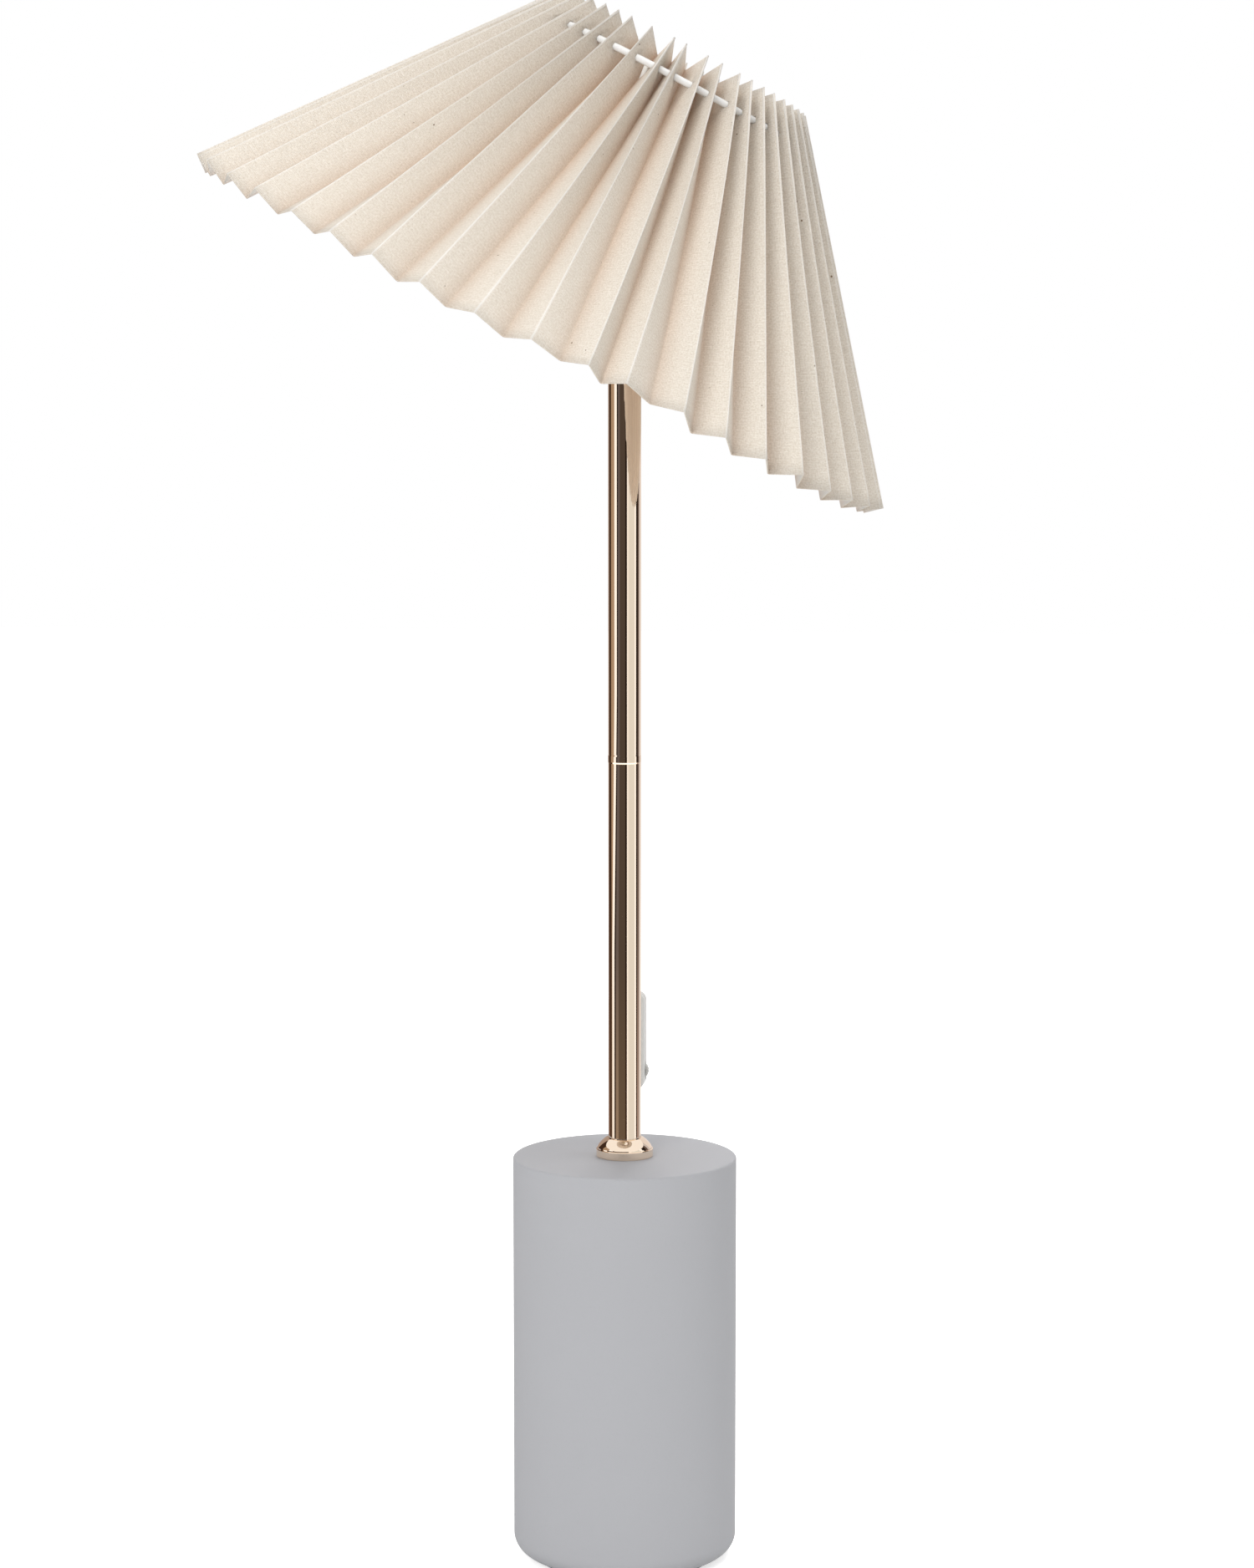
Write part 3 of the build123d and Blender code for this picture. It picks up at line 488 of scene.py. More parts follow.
# %% Recipes
def coated(name, light, dark, rough, size=900.0, patch=25.0, bump=0.00002, coat=0.0, pores=0.0):
    """A moulded, cast, glazed or painted surface."""
    material, add, out = new_material(name)
    where = add("ShaderNodeTexCoord")
    texture = add("ShaderNodeGroup", node_tree=grain)
    material.node_tree.links.new(where.outputs["Object"], texture.inputs["Vector"])
    texture.inputs["Size"].default_value = size
    texture.inputs["Patch"].default_value = patch
    colour = add("ShaderNodeMix", {"Factor": texture.outputs["Patches"], "A": (*dark, 1), "B": (*light, 1)},
                 data_type="RGBA")
    gloss = add("ShaderNodeMapRange", {"Value": texture.outputs["Grain"], "To Min": rough[0], "To Max": rough[1]})
    relief = texture.outputs["Grain"]
    tint = colour.outputs["Result"]
    if pores:
        pit = add("ShaderNodeMath", {0: texture.outputs["Pores"], 1: pores}, operation="MULTIPLY")
        relief = add("ShaderNodeMath", {0: relief, 1: pit.outputs[0]}, operation="SUBTRACT").outputs[0]
        # Each pore is also painted darker: a painted shade in the pit, on top of its dip in the bump.
        shade = tuple(c * 0.72 for c in dark)
        tint = add("ShaderNodeMix", {"Factor": pit.outputs[0], "A": tint, "B": (*shade, 1)},
                   data_type="RGBA").outputs["Result"]
    surface = add("ShaderNodeBump", {"Height": relief, "Distance": bump, "Strength": 1.0})
    shader = add("ShaderNodeBsdfPrincipled", {"Base Color": tint, "Roughness": gloss.outputs[0],
                                              "Normal": surface.outputs[0], "Coat Weight": coat})
    material.node_tree.links.new(shader.outputs[0], out.inputs["Surface"])
    return material


def polished(name, light, dark, rough, stretch=(400.0, 400.0, 6.0), bump=0.000002):
    """A metal with polishing lines along one direction."""
    material, add, out = new_material(name)
    where = add("ShaderNodeTexCoord")
    wear = add("ShaderNodeGroup", node_tree=marks)
    material.node_tree.links.new(where.outputs["Object"], wear.inputs["Vector"])
    wear.inputs["Stretch"].default_value = stretch
    colour = add("ShaderNodeMix", {"Factor": wear.outputs["Smudge"], "A": (*dark, 1), "B": (*light, 1)},
                 data_type="RGBA")
    gloss = add("ShaderNodeMapRange", {"Value": wear.outputs["Smudge"], "From Min": 0.3, "From Max": 0.75,
                                       "To Min": rough[0], "To Max": rough[1]})
    surface = add("ShaderNodeBump", {"Height": wear.outputs["Lines"], "Distance": bump, "Strength": 1.0})
    shader = add("ShaderNodeBsdfPrincipled", {"Base Color": colour.outputs["Result"], "Metallic": 1.0,
                                              "Roughness": gloss.outputs[0], "Normal": surface.outputs[0]})
    material.node_tree.links.new(shader.outputs[0], out.inputs["Surface"])
    return material


rose_gold = polished("rose_gold", (0.96, 0.80, 0.645), (0.94, 0.775, 0.615), (0.02, 0.05))
steel = polished("zinc_steel", (0.66, 0.66, 0.64), (0.55, 0.56, 0.56), (0.22, 0.38), (90.0, 90.0, 90.0), 0.00001)
brass = polished("brass", (0.82, 0.62, 0.30), (0.76, 0.54, 0.24), (0.16, 0.30), (120.0, 120.0, 120.0), 0.000008)
aluminium = polished("aluminium", (0.80, 0.80, 0.80), (0.72, 0.72, 0.73), (0.18, 0.32), (150.0, 150.0, 150.0),
                     0.000008)
concrete = coated("cast_concrete", (0.452, 0.456, 0.478), (0.420, 0.424, 0.447), (0.74, 0.90), 620.0, 9.0,
                  0.00006, pores=0.22)
foam = coated("foam_pad", (0.030, 0.030, 0.032), (0.018, 0.018, 0.020), (0.85, 0.98), 1600.0, 60.0, 0.0003,
              pores=0.9)
white_plastic = coated("white_plastic", (0.80, 0.80, 0.78), (0.76, 0.76, 0.735), (0.26, 0.38), 1800.0, 30.0, 0.00001)
wheel_plastic = coated("wheel_plastic", (0.66, 0.66, 0.64), (0.60, 0.60, 0.58), (0.38, 0.50), 2200.0, 60.0, 0.00002)
holder_plastic = coated("holder_plastic", (0.78, 0.77, 0.73), (0.73, 0.72, 0.68), (0.34, 0.48), 1500.0, 40.0, 0.00002)
porcelain = coated("glazed_porcelain", (0.84, 0.83, 0.79), (0.80, 0.79, 0.75), (0.10, 0.18), 260.0, 30.0, 0.00003,
                   coat=0.6)
powder_coat = coated("powder_coat", (0.86, 0.86, 0.85), (0.81, 0.81, 0.80), (0.22, 0.36), 1400.0, 50.0, 0.00004,
                     coat=0.3)
flex = coated("pale_flex", (0.80, 0.80, 0.77), (0.74, 0.735, 0.70), (0.24, 0.36), 1100.0, 45.0, 0.00002, coat=0.2)
phosphor = coated("phosphor", (0.85, 0.68, 0.24), (0.76, 0.56, 0.16), (0.45, 0.60), 2600.0, 300.0, 0.00004)

# %% Clear glass
bulb_glass, add, out = new_material("bulb_glass")
where = add("ShaderNodeTexCoord")
uneven = add("ShaderNodeTexNoise", {"Vector": where.outputs["Object"], "Scale": 45.0, "Detail": 1.0})
surface = add("ShaderNodeBump", {"Height": uneven.outputs["Fac"], "Distance": 0.00004, "Strength": 1.0})
clear = add("ShaderNodeMapRange", {"Value": uneven.outputs["Fac"], "To Min": 0.0, "To Max": 0.02})
shader = add("ShaderNodeBsdfPrincipled", {"Base Color": (0.99, 0.98, 0.95, 1), "Roughness": clear.outputs[0],
                                          "IOR": 1.46, "Transmission Weight": 1.0, "Normal": surface.outputs[0]})
bulb_glass.node_tree.links.new(shader.outputs[0], out.inputs["Surface"])
print("finishes so far:", len(bpy.data.materials))

# %% [markdown]
# ## Linen
#
# The shade is natural linen on a thin stiff film. The weave runs with the folds: the weft goes across
# the pleats and carries most of the slubs, and a few darker flecks are bits of stalk. A crease is paler,
# partly because pressing flattens the threads there and partly as a painted highlight, so the mesh
# carries a value that is highest on an outer fold. A second value rises towards the inner folds and
# paints a warm shade there, which stands in for the shade and the warm light that goes to and fro
# between two panels. Some light passes through the cloth, and its film side is smoother and whiter.

# %% Linen material
def linen_cloth(name, pale, warm, fleck_tone, thread_bump, light_through):
    """Woven linen with flecks, pale creases (partly a painted highlight) and painted shade in inner folds."""
    material, add, out = new_material(name)
    where = add("ShaderNodeUVMap", uv_map="cloth")
    cloth = add("ShaderNodeGroup", node_tree=weave)
    material.node_tree.links.new(where.outputs[0], cloth.inputs["Vector"])
    fuzz = add("ShaderNodeTexNoise", {"Vector": where.outputs[0], "Scale": 1150.0, "Detail": 1.0})
    fuzz = add("ShaderNodeMapRange", {"Value": fuzz.outputs["Fac"], "From Min": 0.32, "From Max": 0.68})
    blend = add("ShaderNodeMix", {"Factor": 0.55, "A": cloth.outputs["Slub"], "B": fuzz.outputs[0]},
                data_type="FLOAT")
    ground = add("ShaderNodeMix", {"Factor": blend.outputs["Result"], "A": (*warm, 1), "B": (*pale, 1)},
                 data_type="RGBA")
    gap = add("ShaderNodeMapRange", {"Value": cloth.outputs["Thread"], "To Min": 0.90, "To Max": 1.02})
    deep = add("ShaderNodeVectorMath", {0: ground.outputs["Result"], "Scale": gap.outputs[0]}, operation="SCALE")
    flecked = add("ShaderNodeMix", {"Factor": cloth.outputs["Fleck"], "A": deep.outputs[0], "B": (*fleck_tone, 1)},
                  data_type="RGBA")
    # A painted warm shade that deepens towards the inner folds, where the panels shade each other.
    painted_fold_shade = add("ShaderNodeAttribute", attribute_name="painted_fold_shade")
    painted_fold_shade_tint = add("ShaderNodeMix", {"Factor": painted_fold_shade.outputs["Fac"], "A": (1, 1, 1, 1), "B": (0.66, 0.47, 0.34, 1)},
                data_type="RGBA")
    inner = add("ShaderNodeVectorMath", {0: flecked.outputs["Result"], 1: painted_fold_shade_tint.outputs["Result"]},
                operation="MULTIPLY")
    # Pale creases: partly the pressed fold's own paler threads, partly a painted highlight on every outer fold.
    crease = add("ShaderNodeAttribute", attribute_name="crease")
    colour = add("ShaderNodeMix", {"Factor": crease.outputs["Fac"], "A": inner.outputs[0],
                                   "B": (0.97, 0.95, 0.92, 1)}, data_type="RGBA")
    height = add("ShaderNodeMath", {0: cloth.outputs["Thread"], 1: cloth.outputs["Slub"]}, operation="ADD")
    surface = add("ShaderNodeBump", {"Height": height.outputs[0], "Distance": thread_bump, "Strength": 1.0})
    rough = add("ShaderNodeMapRange", {"Value": cloth.outputs["Slub"], "To Min": 0.92, "To Max": 0.74})
    front = add("ShaderNodeBsdfPrincipled", {"Base Color": colour.outputs["Result"], "Roughness": rough.outputs[0],
                                             "Sheen Weight": 0.15, "Sheen Roughness": 0.4,
                                             "Specular IOR Level": 0.25, "Normal": surface.outputs[0]})
    through = add("ShaderNodeBsdfTranslucent", {"Color": colour.outputs["Result"], "Normal": surface.outputs[0]})
    mix = add("ShaderNodeMixShader", {"Fac": light_through})
    links = material.node_tree.links
    links.new(front.outputs[0], mix.inputs[1])
    links.new(through.outputs[0], mix.inputs[2])
    links.new(mix.outputs[0], out.inputs["Surface"])
    return material


linen_outside = linen_cloth("linen", (0.95, 0.90, 0.825), (0.74, 0.665, 0.565), (0.28, 0.20, 0.13), 0.00005, 0.18)
linen_inside = linen_cloth("linen_film", (0.96, 0.94, 0.91), (0.94, 0.91, 0.87), (0.80, 0.73, 0.64), 0.00002, 0.32)

# %% [markdown]
# ## The pleated shade
#
# One strip, 1.43 m long, is pressed into 44 pleats, bent round into a cone and held by a wire that
# runs through a slot in every panel. It could be a cone with a bumpy texture, but the folds cast
# shade on each other and give the rim its zigzag, so every panel is modelled. The folds are a little
# uneven, as hand-set pleats are: the list gives how far some folds stand from an even spacing.

# %% Shade sizes
head_turn = (Matrix.Translation((0, -0.035, 0.668)) @ Matrix.Rotation(math.radians(27.5), 4, "Y")
             @ Matrix.Translation((0, 0, -0.07465)))
pleats = 44
first_fold = -84.3
rim_radius, top_radius, shade_height = 0.181, 0.0638, 0.145
rim_depth, top_depth = 0.0092, 0.0157
slope = math.atan2(rim_radius - top_radius, shade_height)
slant = math.hypot(rim_radius - top_radius, shade_height)
panel_width = 0.0163
ring_radius, ring_up = 0.0685, 0.129
# fold: (degrees off an even spacing at the rim, the same at the top, degrees swung outwards)
hand_set = {
    -14: (0.9, 0.9, 0.2), -12: (1.5, 1.6, 0.5), -11: (2.1, 2.0, 0.9), -10: (2.1, 2.3, 0.2), -9: (2.3, 1.9, 1.1),
    -8: (1.8, 1.4, 0.4), -7: (1.8, 0.8, 0.9), -6: (1.2, 0.2, 0.4), -5: (1.3, 1.1, 0.6), -4: (0.9, 2.0, 0.0),
    -3: (1.1, 3.1, 0.7), -2: (1.3, 4.3, -0.4), -1: (2.0, 2.9, 0.7), 0: (1.5, 1.5, 0.2), 1: (2.2, 2.5, 1.9),
    2: (1.6, 3.4, 1.0), 3: (0.4, 2.6, 1.5), 4: (-1.0, 1.9, 1.1), 5: (-0.5, 2.3, 2.4), 6: (-0.1, 2.7, 1.2),
    7: (-0.5, 1.8, 0.6), 8: (-0.5, 0.8, 0.3), 9: (-0.7, 0.2, 0.2), 10: (-0.6, -0.4, -0.1), 11: (-0.7, -1.1, -0.2),
    12: (-1.0, -1.8, 0.3), 13: (-1.4, -2.3, -0.4), 14: (-0.7, -2.7, -0.4), 15: (-1.7, -3.2, -0.7),
    16: (-1.5, -3.8, -0.3), 17: (-1.8, -4.0, -0.5), 18: (-2.2, -4.1, 0.0), 20: (-2.6, -4.0, 0.2),
    22: (-2.0, -2.8, 0.1), 24: (-1.2, -1.6, 0.0), 26: (-0.6, -0.8, 0.0),
}
first_counted = -16  # folds are counted from the lowest number here, once round
chance = random.Random(7)
wobble = [(turn, turn + chance.uniform(-0.4, 0.4), chance.uniform(-0.4, 0.5))
          for turn in (chance.uniform(-0.45, 0.45) for _ in range(2 * pleats))]
bow = [chance.uniform(-0.5, 1.0) for _ in range(2 * pleats)]


def setting(fold):
    """How a fold differs from an even one; even folds stand out and odd ones lie between them."""
    fold = (fold - first_counted) % (2 * pleats) + first_counted
    if fold in hand_set:
        return hand_set[fold]
    if fold % 2 == 0:
        return wobble[fold % (2 * pleats)]
    return tuple((a + b) / 2 for a, b in zip(setting(fold - 1), setting(fold + 1)))


def fold_point(fold, up):
    """A point on a fold, at a share up of its length from rim to top."""
    rim_turn, top_turn, swing = setting(fold)
    depth = (rim_depth + (top_depth - rim_depth) * up) * (fold % 2)
    out = rim_radius + (top_radius - rim_radius) * up - depth * math.cos(slope) - ring_radius
    rise = shade_height * up - depth * math.sin(slope) - ring_up
    c, s = math.cos(math.radians(swing)), math.sin(math.radians(swing))
    radius, level = ring_radius + out * c - rise * s, ring_up + out * s + rise * c
    a = math.radians(first_fold + fold * 180 / pleats + rim_turn * (1 - up) + top_turn * up)
    return Vector((radius * math.cos(a), radius * math.sin(a), level))


print("slant", round(slant * 1000, 1), "mm; strip", round(2 * pleats * panel_width, 3), "m long")

# %% Shade mesh
across_shares = [0.0, 0.03, 0.07, 0.16, 0.32, 0.42, 0.52, 0.68, 0.84, 0.93, 0.97]
slot_reach, slot_half = (0.32, 0.52), 0.0098
ring_share = 0.917  # where the wire crosses a panel, as a share of the panel's height
up_shares = [i / 25 for i in range(23)] + [ring_share - slot_half, ring_share, ring_share + slot_half, 0.96, 1.0]
fold_round = 0.02
belly_depth, belly_up = 0.0007, 1.15
# The pale crease on outer folds, partly a painted highlight: its strength and its width as a share of a panel.
crease_depth, crease_width = 0.8, 0.05
# The painted warm shade in the inner folds: how fast it rises to an inner fold, its strength at the rim, its gain to
# the top.
painted_fold_shade_power, painted_fold_shade_at_rim, painted_fold_shade_gain = 2.6, 0.38, 0.40
points, creases, painted_fold_shades, spans = [], [], [], []
for panel in range(2 * pleats):
    outer_first = panel % 2 == 0
    for share in across_shares:
        inner = share if outer_first else 1 - share
        soft = math.hypot(inner, fold_round) - inner - (math.hypot(1 - inner, fold_round) - (1 - inner))
        for up in up_shares:
            a, b = fold_point(panel, up), fold_point(panel + 1, up)
            depth = rim_depth + (top_depth - rim_depth) * up
            inward = Vector((-math.cos(slope) * (a + b).x, -math.cos(slope) * (a + b).y, 0)).normalized()
            inward = Vector((inward.x * math.cos(slope), inward.y * math.cos(slope), -math.sin(slope)))
            p = a.lerp(b, share) + inward * soft * depth
            belly = bow[panel] * belly_depth * math.sin(math.pi * share) * math.sin(math.pi * min(1, up * belly_up))
            side = Vector((0, 0, 1)).cross(inward).normalized()
            p += (inward + side * (1 if outer_first else -1)).normalized() * abs(belly)
            points.append(head_turn @ p)
            creases.append(crease_depth * max(0.0, 1 - inner / crease_width))
            painted_fold_shades.append(inner ** painted_fold_shade_power * (painted_fold_shade_at_rim + painted_fold_shade_gain * up))
            spans.append(((panel + share) * panel_width, up * slant))
rows, columns = len(up_shares), len(across_shares) * 2 * pleats
slot_low = up_shares.index(ring_share - slot_half)
faces, face_uvs = [], []
for i in range(columns):
    n = (i + 1) % columns
    panel, cell = divmod(i, len(across_shares))
    begin, end = across_shares[cell], (across_shares + [1.0])[cell + 1]
    if panel % 2:
        begin, end = 1 - end, 1 - begin
    for j in range(rows - 1):
        if slot_low <= j < slot_low + 2 and slot_reach[0] - 0.01 < begin and end < slot_reach[1] + 0.01:
            continue
        faces.append((i * rows + j, n * rows + j, n * rows + j + 1, i * rows + j + 1))
        wrap = 2 * pleats * panel_width if n == 0 else 0.0
        corners = [spans[i * rows + j], spans[n * rows + j], spans[n * rows + j + 1], spans[i * rows + j + 1]]
        face_uvs.append([(u + (wrap if k in (1, 2) else 0), v) for k, (u, v) in enumerate(corners)])
mesh = bpy.data.meshes.new("linen_shade")
mesh.from_pydata([tuple(p) for p in points], [], faces)
uv = mesh.uv_layers.new(name="cloth")
for polygon, corners in zip(mesh.polygons, face_uvs):
    for loop, value in zip(polygon.loop_indices, corners):
        uv.data[loop].uv = value
crease = mesh.attributes.new("crease", "FLOAT", "POINT")
painted_fold_shade = mesh.attributes.new("painted_fold_shade", "FLOAT", "POINT")
for k in range(len(points)):
    crease.data[k].value = creases[k]
    painted_fold_shade.data[k].value = painted_fold_shades[k]
shade = place_piece("linen_shade", mesh, "head", ["shade_cloth"], sharp=40)
shade.data.materials.append(linen_outside)
shade.data.materials.append(linen_inside)
cloth = shade.modifiers.new("cloth", "SOLIDIFY")
cloth.thickness = 0.0006
cloth.offset = -1
cloth.use_even_offset = False
cloth.material_offset = 1
cloth.material_offset_rim = 0
outward = sum((mesh.polygons[k].normal.dot(mesh.polygons[k].center - head_turn @ Vector((0, 0, 0.07)))
               for k in range(0, len(mesh.polygons), 97)), 0.0)
if outward < 0:
    mesh.flip_normals()
print(len(mesh.polygons), "faces in the shade; normals outward:", outward > 0)

# %% [markdown]
# ## Turned metal on the stem
#
# The collar between the two tubes and the flange at the foot are turned on a lathe. A turned edge is
# never quite sharp: it is broken with a file, and that narrow slope is what shows as a bright line
# at each end of the collar. So both are made again here as profiles with broken edges.

# %% Collar and foot flange
def in_metres(profile):
    """A profile written in mm, in metres."""
    return [(r / 1000, z / 1000) for r, z in profile]


collar_profile = [(3.95, 370.1), (6.95, 370.1), (6.95, 394.1), (7.95, 394.1), (8.15, 394.85), (8.15, 397.75),
                  (7.95, 398.5), (6.95, 398.5), (6.95, 422.5), (3.95, 422.5), (3.95, 370.1)]
flange_profile = [(8.05, 200.0), (13.8, 200.0), (14.0, 200.2), (14.0, 203.7), (13.85, 203.95), (13.5, 204.05),
                  (13.45, 204.5), (13.1, 205.2), (12.6, 205.95), (11.9, 206.8), (11.1, 207.6), (10.2, 208.4),
                  (9.5, 208.95), (8.9, 209.2), (8.05, 209.2), (8.05, 200.0)]
collar = place_piece("stem_collar", lathe(in_metres(collar_profile)), "stand", ["stem_coupler"],
                     sharp=12)
flange = place_piece("foot_flange_turned", lathe(in_metres(flange_profile)), "stand", ["foot_flange"],
                     sharp=20)
for piece in (collar, flange):
    piece.data.materials.append(rose_gold)

# %% [markdown]
# ## The switch on the cord
#
# Behind the stem hangs a small rotary switch: two moulded shells that meet in a seam, a knurled wheel
# that stands out at the side, and a screw sunk in the back. The shells are stacks of round-cornered
# outlines, hollow inside, with the wheel's slot and the screw's hole cut out of them.

# %% Switch shells
def rounded_outline(half_x, half_y, corner, bends=8):
    """A rectangle with round corners, as points once round."""
    points = []
    for k, (sx, sy) in enumerate(((1, 1), (-1, 1), (-1, -1), (1, -1))):
        for i in range(bends + 1):
            a = math.radians(90 * (k + i / bends))
            points.append((sx * (half_x - corner) + corner * math.cos(a),
                           sy * (half_y - corner) + corner * math.sin(a)))
    return points


def stack(rows, loop=False):
    """A closed mesh from outlines of equal count, capped at both ends or closed into a loop."""
    points, faces = ring_rows(rows + rows[:1] if loop else rows, close_ends=not loop)
    if loop:
        count, last = len(rows[0]), len(rows) * len(rows[0])
        points = points[:last]
        faces = [tuple(k - last if k >= last else k for k in face) for face in faces]
    return mesh_of(points, faces)


def cut_from(mesh, *cutters):
    """The mesh with other closed meshes cut out of it."""
    scene_objects = bpy.context.scene.collection.objects
    block = bpy.data.objects.new("block", mesh)
    scene_objects.link(block)
    tools = []
    for cutter in cutters:
        tool = bpy.data.objects.new("cutter", cutter)
        scene_objects.link(tool)
        tools.append(tool)
        cut = block.modifiers.new("cut", "BOOLEAN")
        cut.object, cut.operation, cut.solver = tool, "DIFFERENCE", "EXACT"
    graph = bpy.context.evaluated_depsgraph_get()
    result = bpy.data.meshes.new_from_object(block.evaluated_get(graph), depsgraph=graph)
    for used in [block, *tools]:
        bpy.data.objects.remove(used)
    return result


def crosswise(x, y, z):
    """Turns a lathe's Z axis to +Y at a place given in mm."""
    return Matrix.Translation(Vector((x, y, z)) / 1000) @ Matrix.Rotation(math.radians(-90), 4, "X")


switch_at, switch_half_width, switch_half_length, switch_corner = Vector((-1.9, 28.0, 253.0)), 9.1, 24.0, 4.2
wheel_at = (4.1, 28.0, 237.6)
wheel_slot = lathe(in_metres([(0, -2.6), (5.1, -2.6), (5.1, 2.6), (0, 2.6)]), 64, crosswise(*wheel_at))
screw_hole = lathe(in_metres([(0, 5.2), (2.45, 5.2), (2.45, 6.7), (2.8, 7.6), (0, 7.6)]), 48,
                   crosswise(-2.3, 28, 259))
edge = [(2.5 - 2.5 * math.sin(math.radians(a)), 4.5 + 2.5 * math.cos(math.radians(a))) for a in range(0, 91, 15)]
for name, node, side, cutters in (("switch_front", "switch_shell_front", -1, [wheel_slot]),
                                  ("switch_back", "switch_shell_back", 1, [wheel_slot, screw_hole])):
    rows = []
    for inset, out_by in [(5.5, 7.0), *edge, (0.0, 0.5), (0.28, 0.28), (0.3, 0.0), (1.4, 0.0), (1.4, 5.6),
                          (4.0, 5.6)]:
        outline = rounded_outline(switch_half_width - inset, switch_half_length - inset,
                                  max(switch_corner - inset, 0.6))
        rows.append([(switch_at + Vector((x, side * out_by, z))) / 1000 for x, z in outline])
    shell = place_piece(name, cut_from(stack(rows), *[c.copy() for c in cutters]), "stand", [node])
    shell.data.materials.clear()
    shell.data.materials.append(white_plastic)

# %% Knurled wheel
def knurled(radius, depth, notches, count=216):
    """A round outline with rounded notches."""
    points = []
    for i in range(count):
        a = 2 * math.pi * i / count
        r = radius - depth * max(0.0, math.cos(notches * a)) ** 3
        points.append((r * math.cos(a), r * math.sin(a)))
    return points


rows = []
for radius, depth, up in ((4.3, 0.1, -2.2), (4.65, 0.35, -1.9), (4.7, 0.4, -1.6), (4.7, 0.4, 1.6), (4.65, 0.35, 1.9),
                          (4.3, 0.1, 2.2), (3.4, 0.0, 2.2), (3.2, 0.0, 1.8), (1.12, 0.0, 1.8), (1.12, 0.0, -1.8),
                          (3.2, 0.0, -1.8), (3.4, 0.0, -2.2)):
    rows.append([crosswise(*wheel_at) @ Vector((x / 1000, y / 1000, up / 1000))
                 for x, y in knurled(radius, depth, 18)])
wheel = place_piece("knurled_wheel", stack(rows, loop=True), "wheel", ["switch_wheel"])
wheel.data.materials.append(wheel_plastic)

# %% [markdown]
# ## Strain relief and plug
#
# Where the cord leaves the knuckle it sits in a soft ribbed cone, so that it bends over a length and
# not at one point. The plug is moulded onto the cord: a ribbed neck, a body with a waist for the
# fingers and two flat blades with a hole near the tip.

# %% Cord grip
grip_profile = [(0, 626.0), (2.9, 626.0), (3.3, 626.4)]
for rib in range(6):
    z = 627.6 + 3.6 * rib
    r = 3.3 + (z - 626) / 24
    grip_profile += [(r, z), (r - 0.65, z + 0.35), (r - 0.62, z + 1.35), (r + 0.07, z + 1.7)]
grip_profile += [(4.25, 649.0), (4.3, 650.0), (0, 650.0)]
grip = place_piece("cord_grip_ribbed", lathe(in_metres(grip_profile), 56, Matrix.Translation((0, 0.028, 0))),
                   "stand", ["cord_grip"], sharp=30)
grip.data.materials.append(flex)

# %% Plug
plug_across = Vector((-plug_heading.y, plug_heading.x, 0)).normalized()
plug_up = plug_heading.cross(plug_across)
plug_place = Matrix.Translation(plug_seat) @ Matrix((plug_across, plug_up, plug_heading)).transposed().to_4x4()


def oval(half_x, half_y, squareness, count=72):
    """A round outline that becomes a rectangle with round corners as squareness rises above 2."""
    points = []
    for i in range(count):
        c, s = math.cos(2 * math.pi * i / count), math.sin(2 * math.pi * i / count)
        points.append((half_x * math.copysign(abs(c) ** (2 / squareness), c),
                       half_y * math.copysign(abs(s) ** (2 / squareness), s)))
    return points


plug_rows = [(0.0, 2.8, 2.8, 2), (0.3, 3.3, 3.3, 2)]
for rib in range(6):
    z = 1.2 + 3.3 * rib
    r = 3.4 + 2.3 * z / 22
    plug_rows += [(z, r, r, 2), (z + 0.3, r - 0.6, r - 0.6, 2), (z + 1.3, r - 0.55, r - 0.55, 2),
                  (z + 1.6, r + 0.1, r + 0.1, 2)]
plug_rows += [(21.6, 5.7, 5.7, 2), (22.3, 7.6, 6.4, 2.3), (23.4, 10.2, 7.4, 3), (25.0, 11.9, 7.9, 4),
              (27.5, 12.4, 8.1, 5), (31.0, 12.0, 8.1, 5)]
for ridge in range(5):
    z = 33 + 3 * ridge
    plug_rows += [(z, 11.3, 8.0, 5), (z + 0.5, 11.75, 8.0, 5), (z + 1.4, 11.75, 8.0, 5), (z + 1.9, 11.3, 8.0, 5)]
plug_rows += [(50.0, 12.3, 8.1, 5), (54.9, 12.5, 8.1, 5.5), (55.7, 12.2, 7.8, 5.5), (56.0, 11.6, 7.2, 5.5)]
rows = [[plug_place @ (Vector((x, y, z)) / 1000) for x, y in oval(a, b, n)] for z, a, b, n in plug_rows]
plug = place_piece("plug_moulded", stack(rows), "stand", ["plug_body"], sharp=32)
plug.data.materials.append(white_plastic)

work = bmesh.new()
blade_hole = Matrix.Rotation(math.radians(90), 4, "Y")
for side in (-1, 1):
    rows = []
    for inset, thick in ((0.2, -0.75), (0.0, -0.55), (0.0, 0.55), (0.2, 0.75)):
        outline = rounded_outline(3.175 - inset, 11.75 - inset, 1.3, bends=5)
        rows.append([plug_place @ (Vector((6.35 * side + thick, y, z + 61.75)) / 1000) for y, z in outline])
    hole_at = plug_place @ Matrix.Translation(Vector((6.35 * side, 0, 69.3)) / 1000) @ blade_hole
    drill = lathe(in_metres([(0, -2), (1.55, -2), (1.55, 2), (0, 2)]), 32, hole_at)
    work.from_mesh(cut_from(stack(rows), drill))
blades_mesh = bpy.data.meshes.new("plug_blades_drilled")
work.to_mesh(blades_mesh)
work.free()
blades = place_piece("plug_blades_drilled", blades_mesh, "stand", ["plug_blades"], sharp=25)
blades.data.materials.clear()
blades.data.materials.append(brass)

# %% [markdown]
# ## Lampholder and its ring
#
# Under the cup sits a plastic lampholder with a coarse thread on its skirt. A knurled ring runs on
# that thread and clamps the shade's wire hub against the holder's flange.

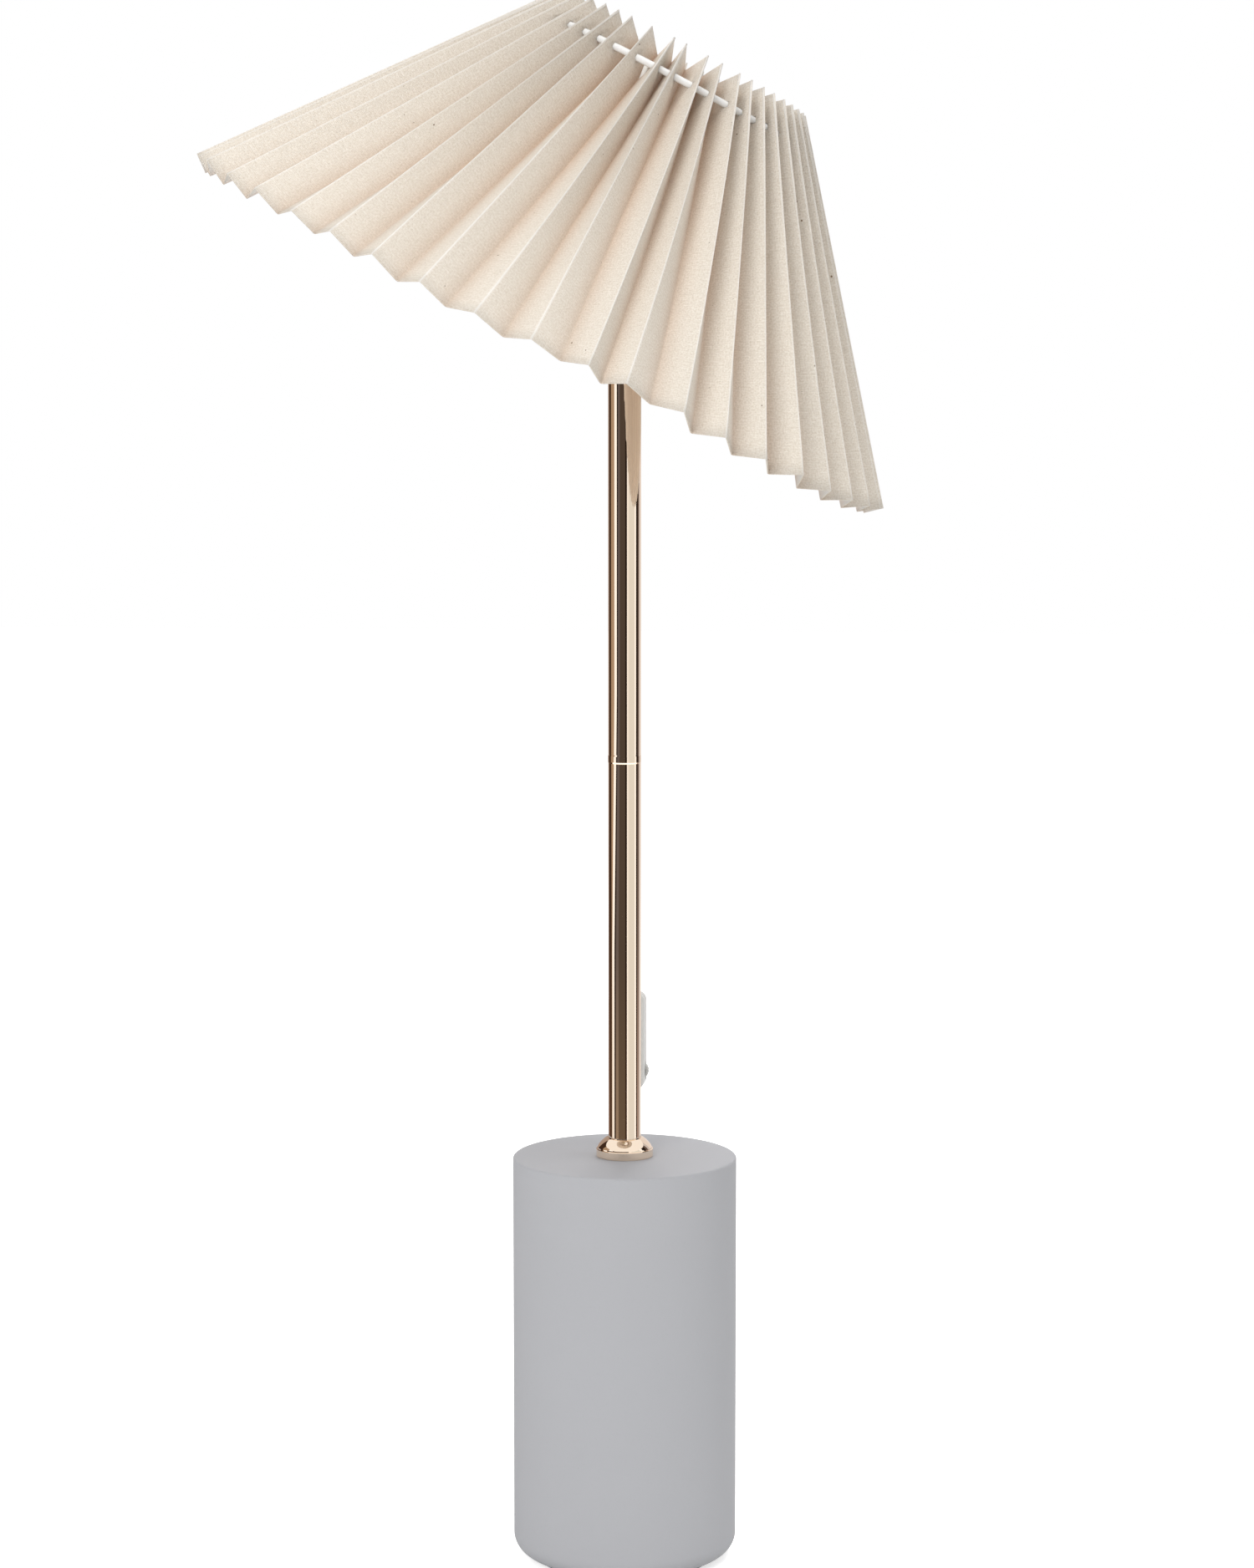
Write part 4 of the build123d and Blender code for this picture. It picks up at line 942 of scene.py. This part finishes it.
# %% Holder and clamp ring
holder_profile = [(16.0, 41.65), (18.5, 41.65), (18.8, 42.0)]
for turn in range(5):
    z = 42.8 + 2.4 * turn
    holder_profile += [(18.98, z), (18.98, z + 0.7), (18.45, z + 1.2), (18.45, z + 1.9)]
holder_profile += [(18.98, 55.3), (18.98, 55.65), (21.3, 55.65), (21.5, 55.85), (21.5, 57.45), (21.3, 57.65),
                   (18.45, 57.65), (18.45, 62.65), (16.0, 62.65), (16.0, 41.65)]
holder = place_piece("holder_threaded", lathe(in_metres(holder_profile), 96, head_turn), "head",
                     ["holder_shell"], sharp=30)
rows = []
for radius, depth, up in ((21.1, 0.2, 48.05), (21.5, 0.55, 48.45), (21.5, 0.55, 52.0), (21.7, 0.0, 52.45),
                          (25.6, 0.0, 52.45), (26.0, 0.0, 52.85), (26.0, 0.0, 53.7), (25.6, 0.0, 54.05),
                          (19.08, 0.0, 54.05), (19.08, 0.0, 48.05)):
    rows.append([head_turn @ Vector((x / 1000, y / 1000, up / 1000)) for x, y in knurled(radius, depth, 48, 384)])
ring = place_piece("clamp_ring_knurled", stack(rows, loop=True), "head", ["shade_clamp_ring"])
for piece in (holder, ring):
    piece.data.materials.append(holder_plastic)

# %% [markdown]
# ## Finishes on the solids that are already right
#
# The solids keep their exact shape, and each takes the finish of what it is made of. The cord takes
# its finish last.

# %% Solids and their finishes
finish_of = {
    rose_gold: ["stem_lower", "stem_upper", "knuckle_block", "head_cup", "cord_outlet"],
    steel: ["base_washer", "base_nut", "tie_rod", "friction_washer", "spring_washer", "lock_nut", "back_washer",
            "cup_screws", "switch_screw", "wheel_pin", "stem_foot_insert", "hinge_nipple"],
    brass: ["screw_shell", "centre_contact", "switch_contacts", "bulb_contact"],
    concrete: ["base_body"],
    foam: ["base_pad"],
    porcelain: ["holder_insulator"],
    powder_coat: ["shade_frame"],
    bulb_glass: ["bulb_glass"],
    aluminium: ["bulb_cap"],
    phosphor: ["bulb_filament"],
}
for material, names in finish_of.items():
    for name in names:
        solid = nodes[name]
        while len(solid.material_slots) < 1:
            solid.data.materials.append(material)
        for slot in solid.material_slots:
            slot.material = material
curve.materials.append(flex)
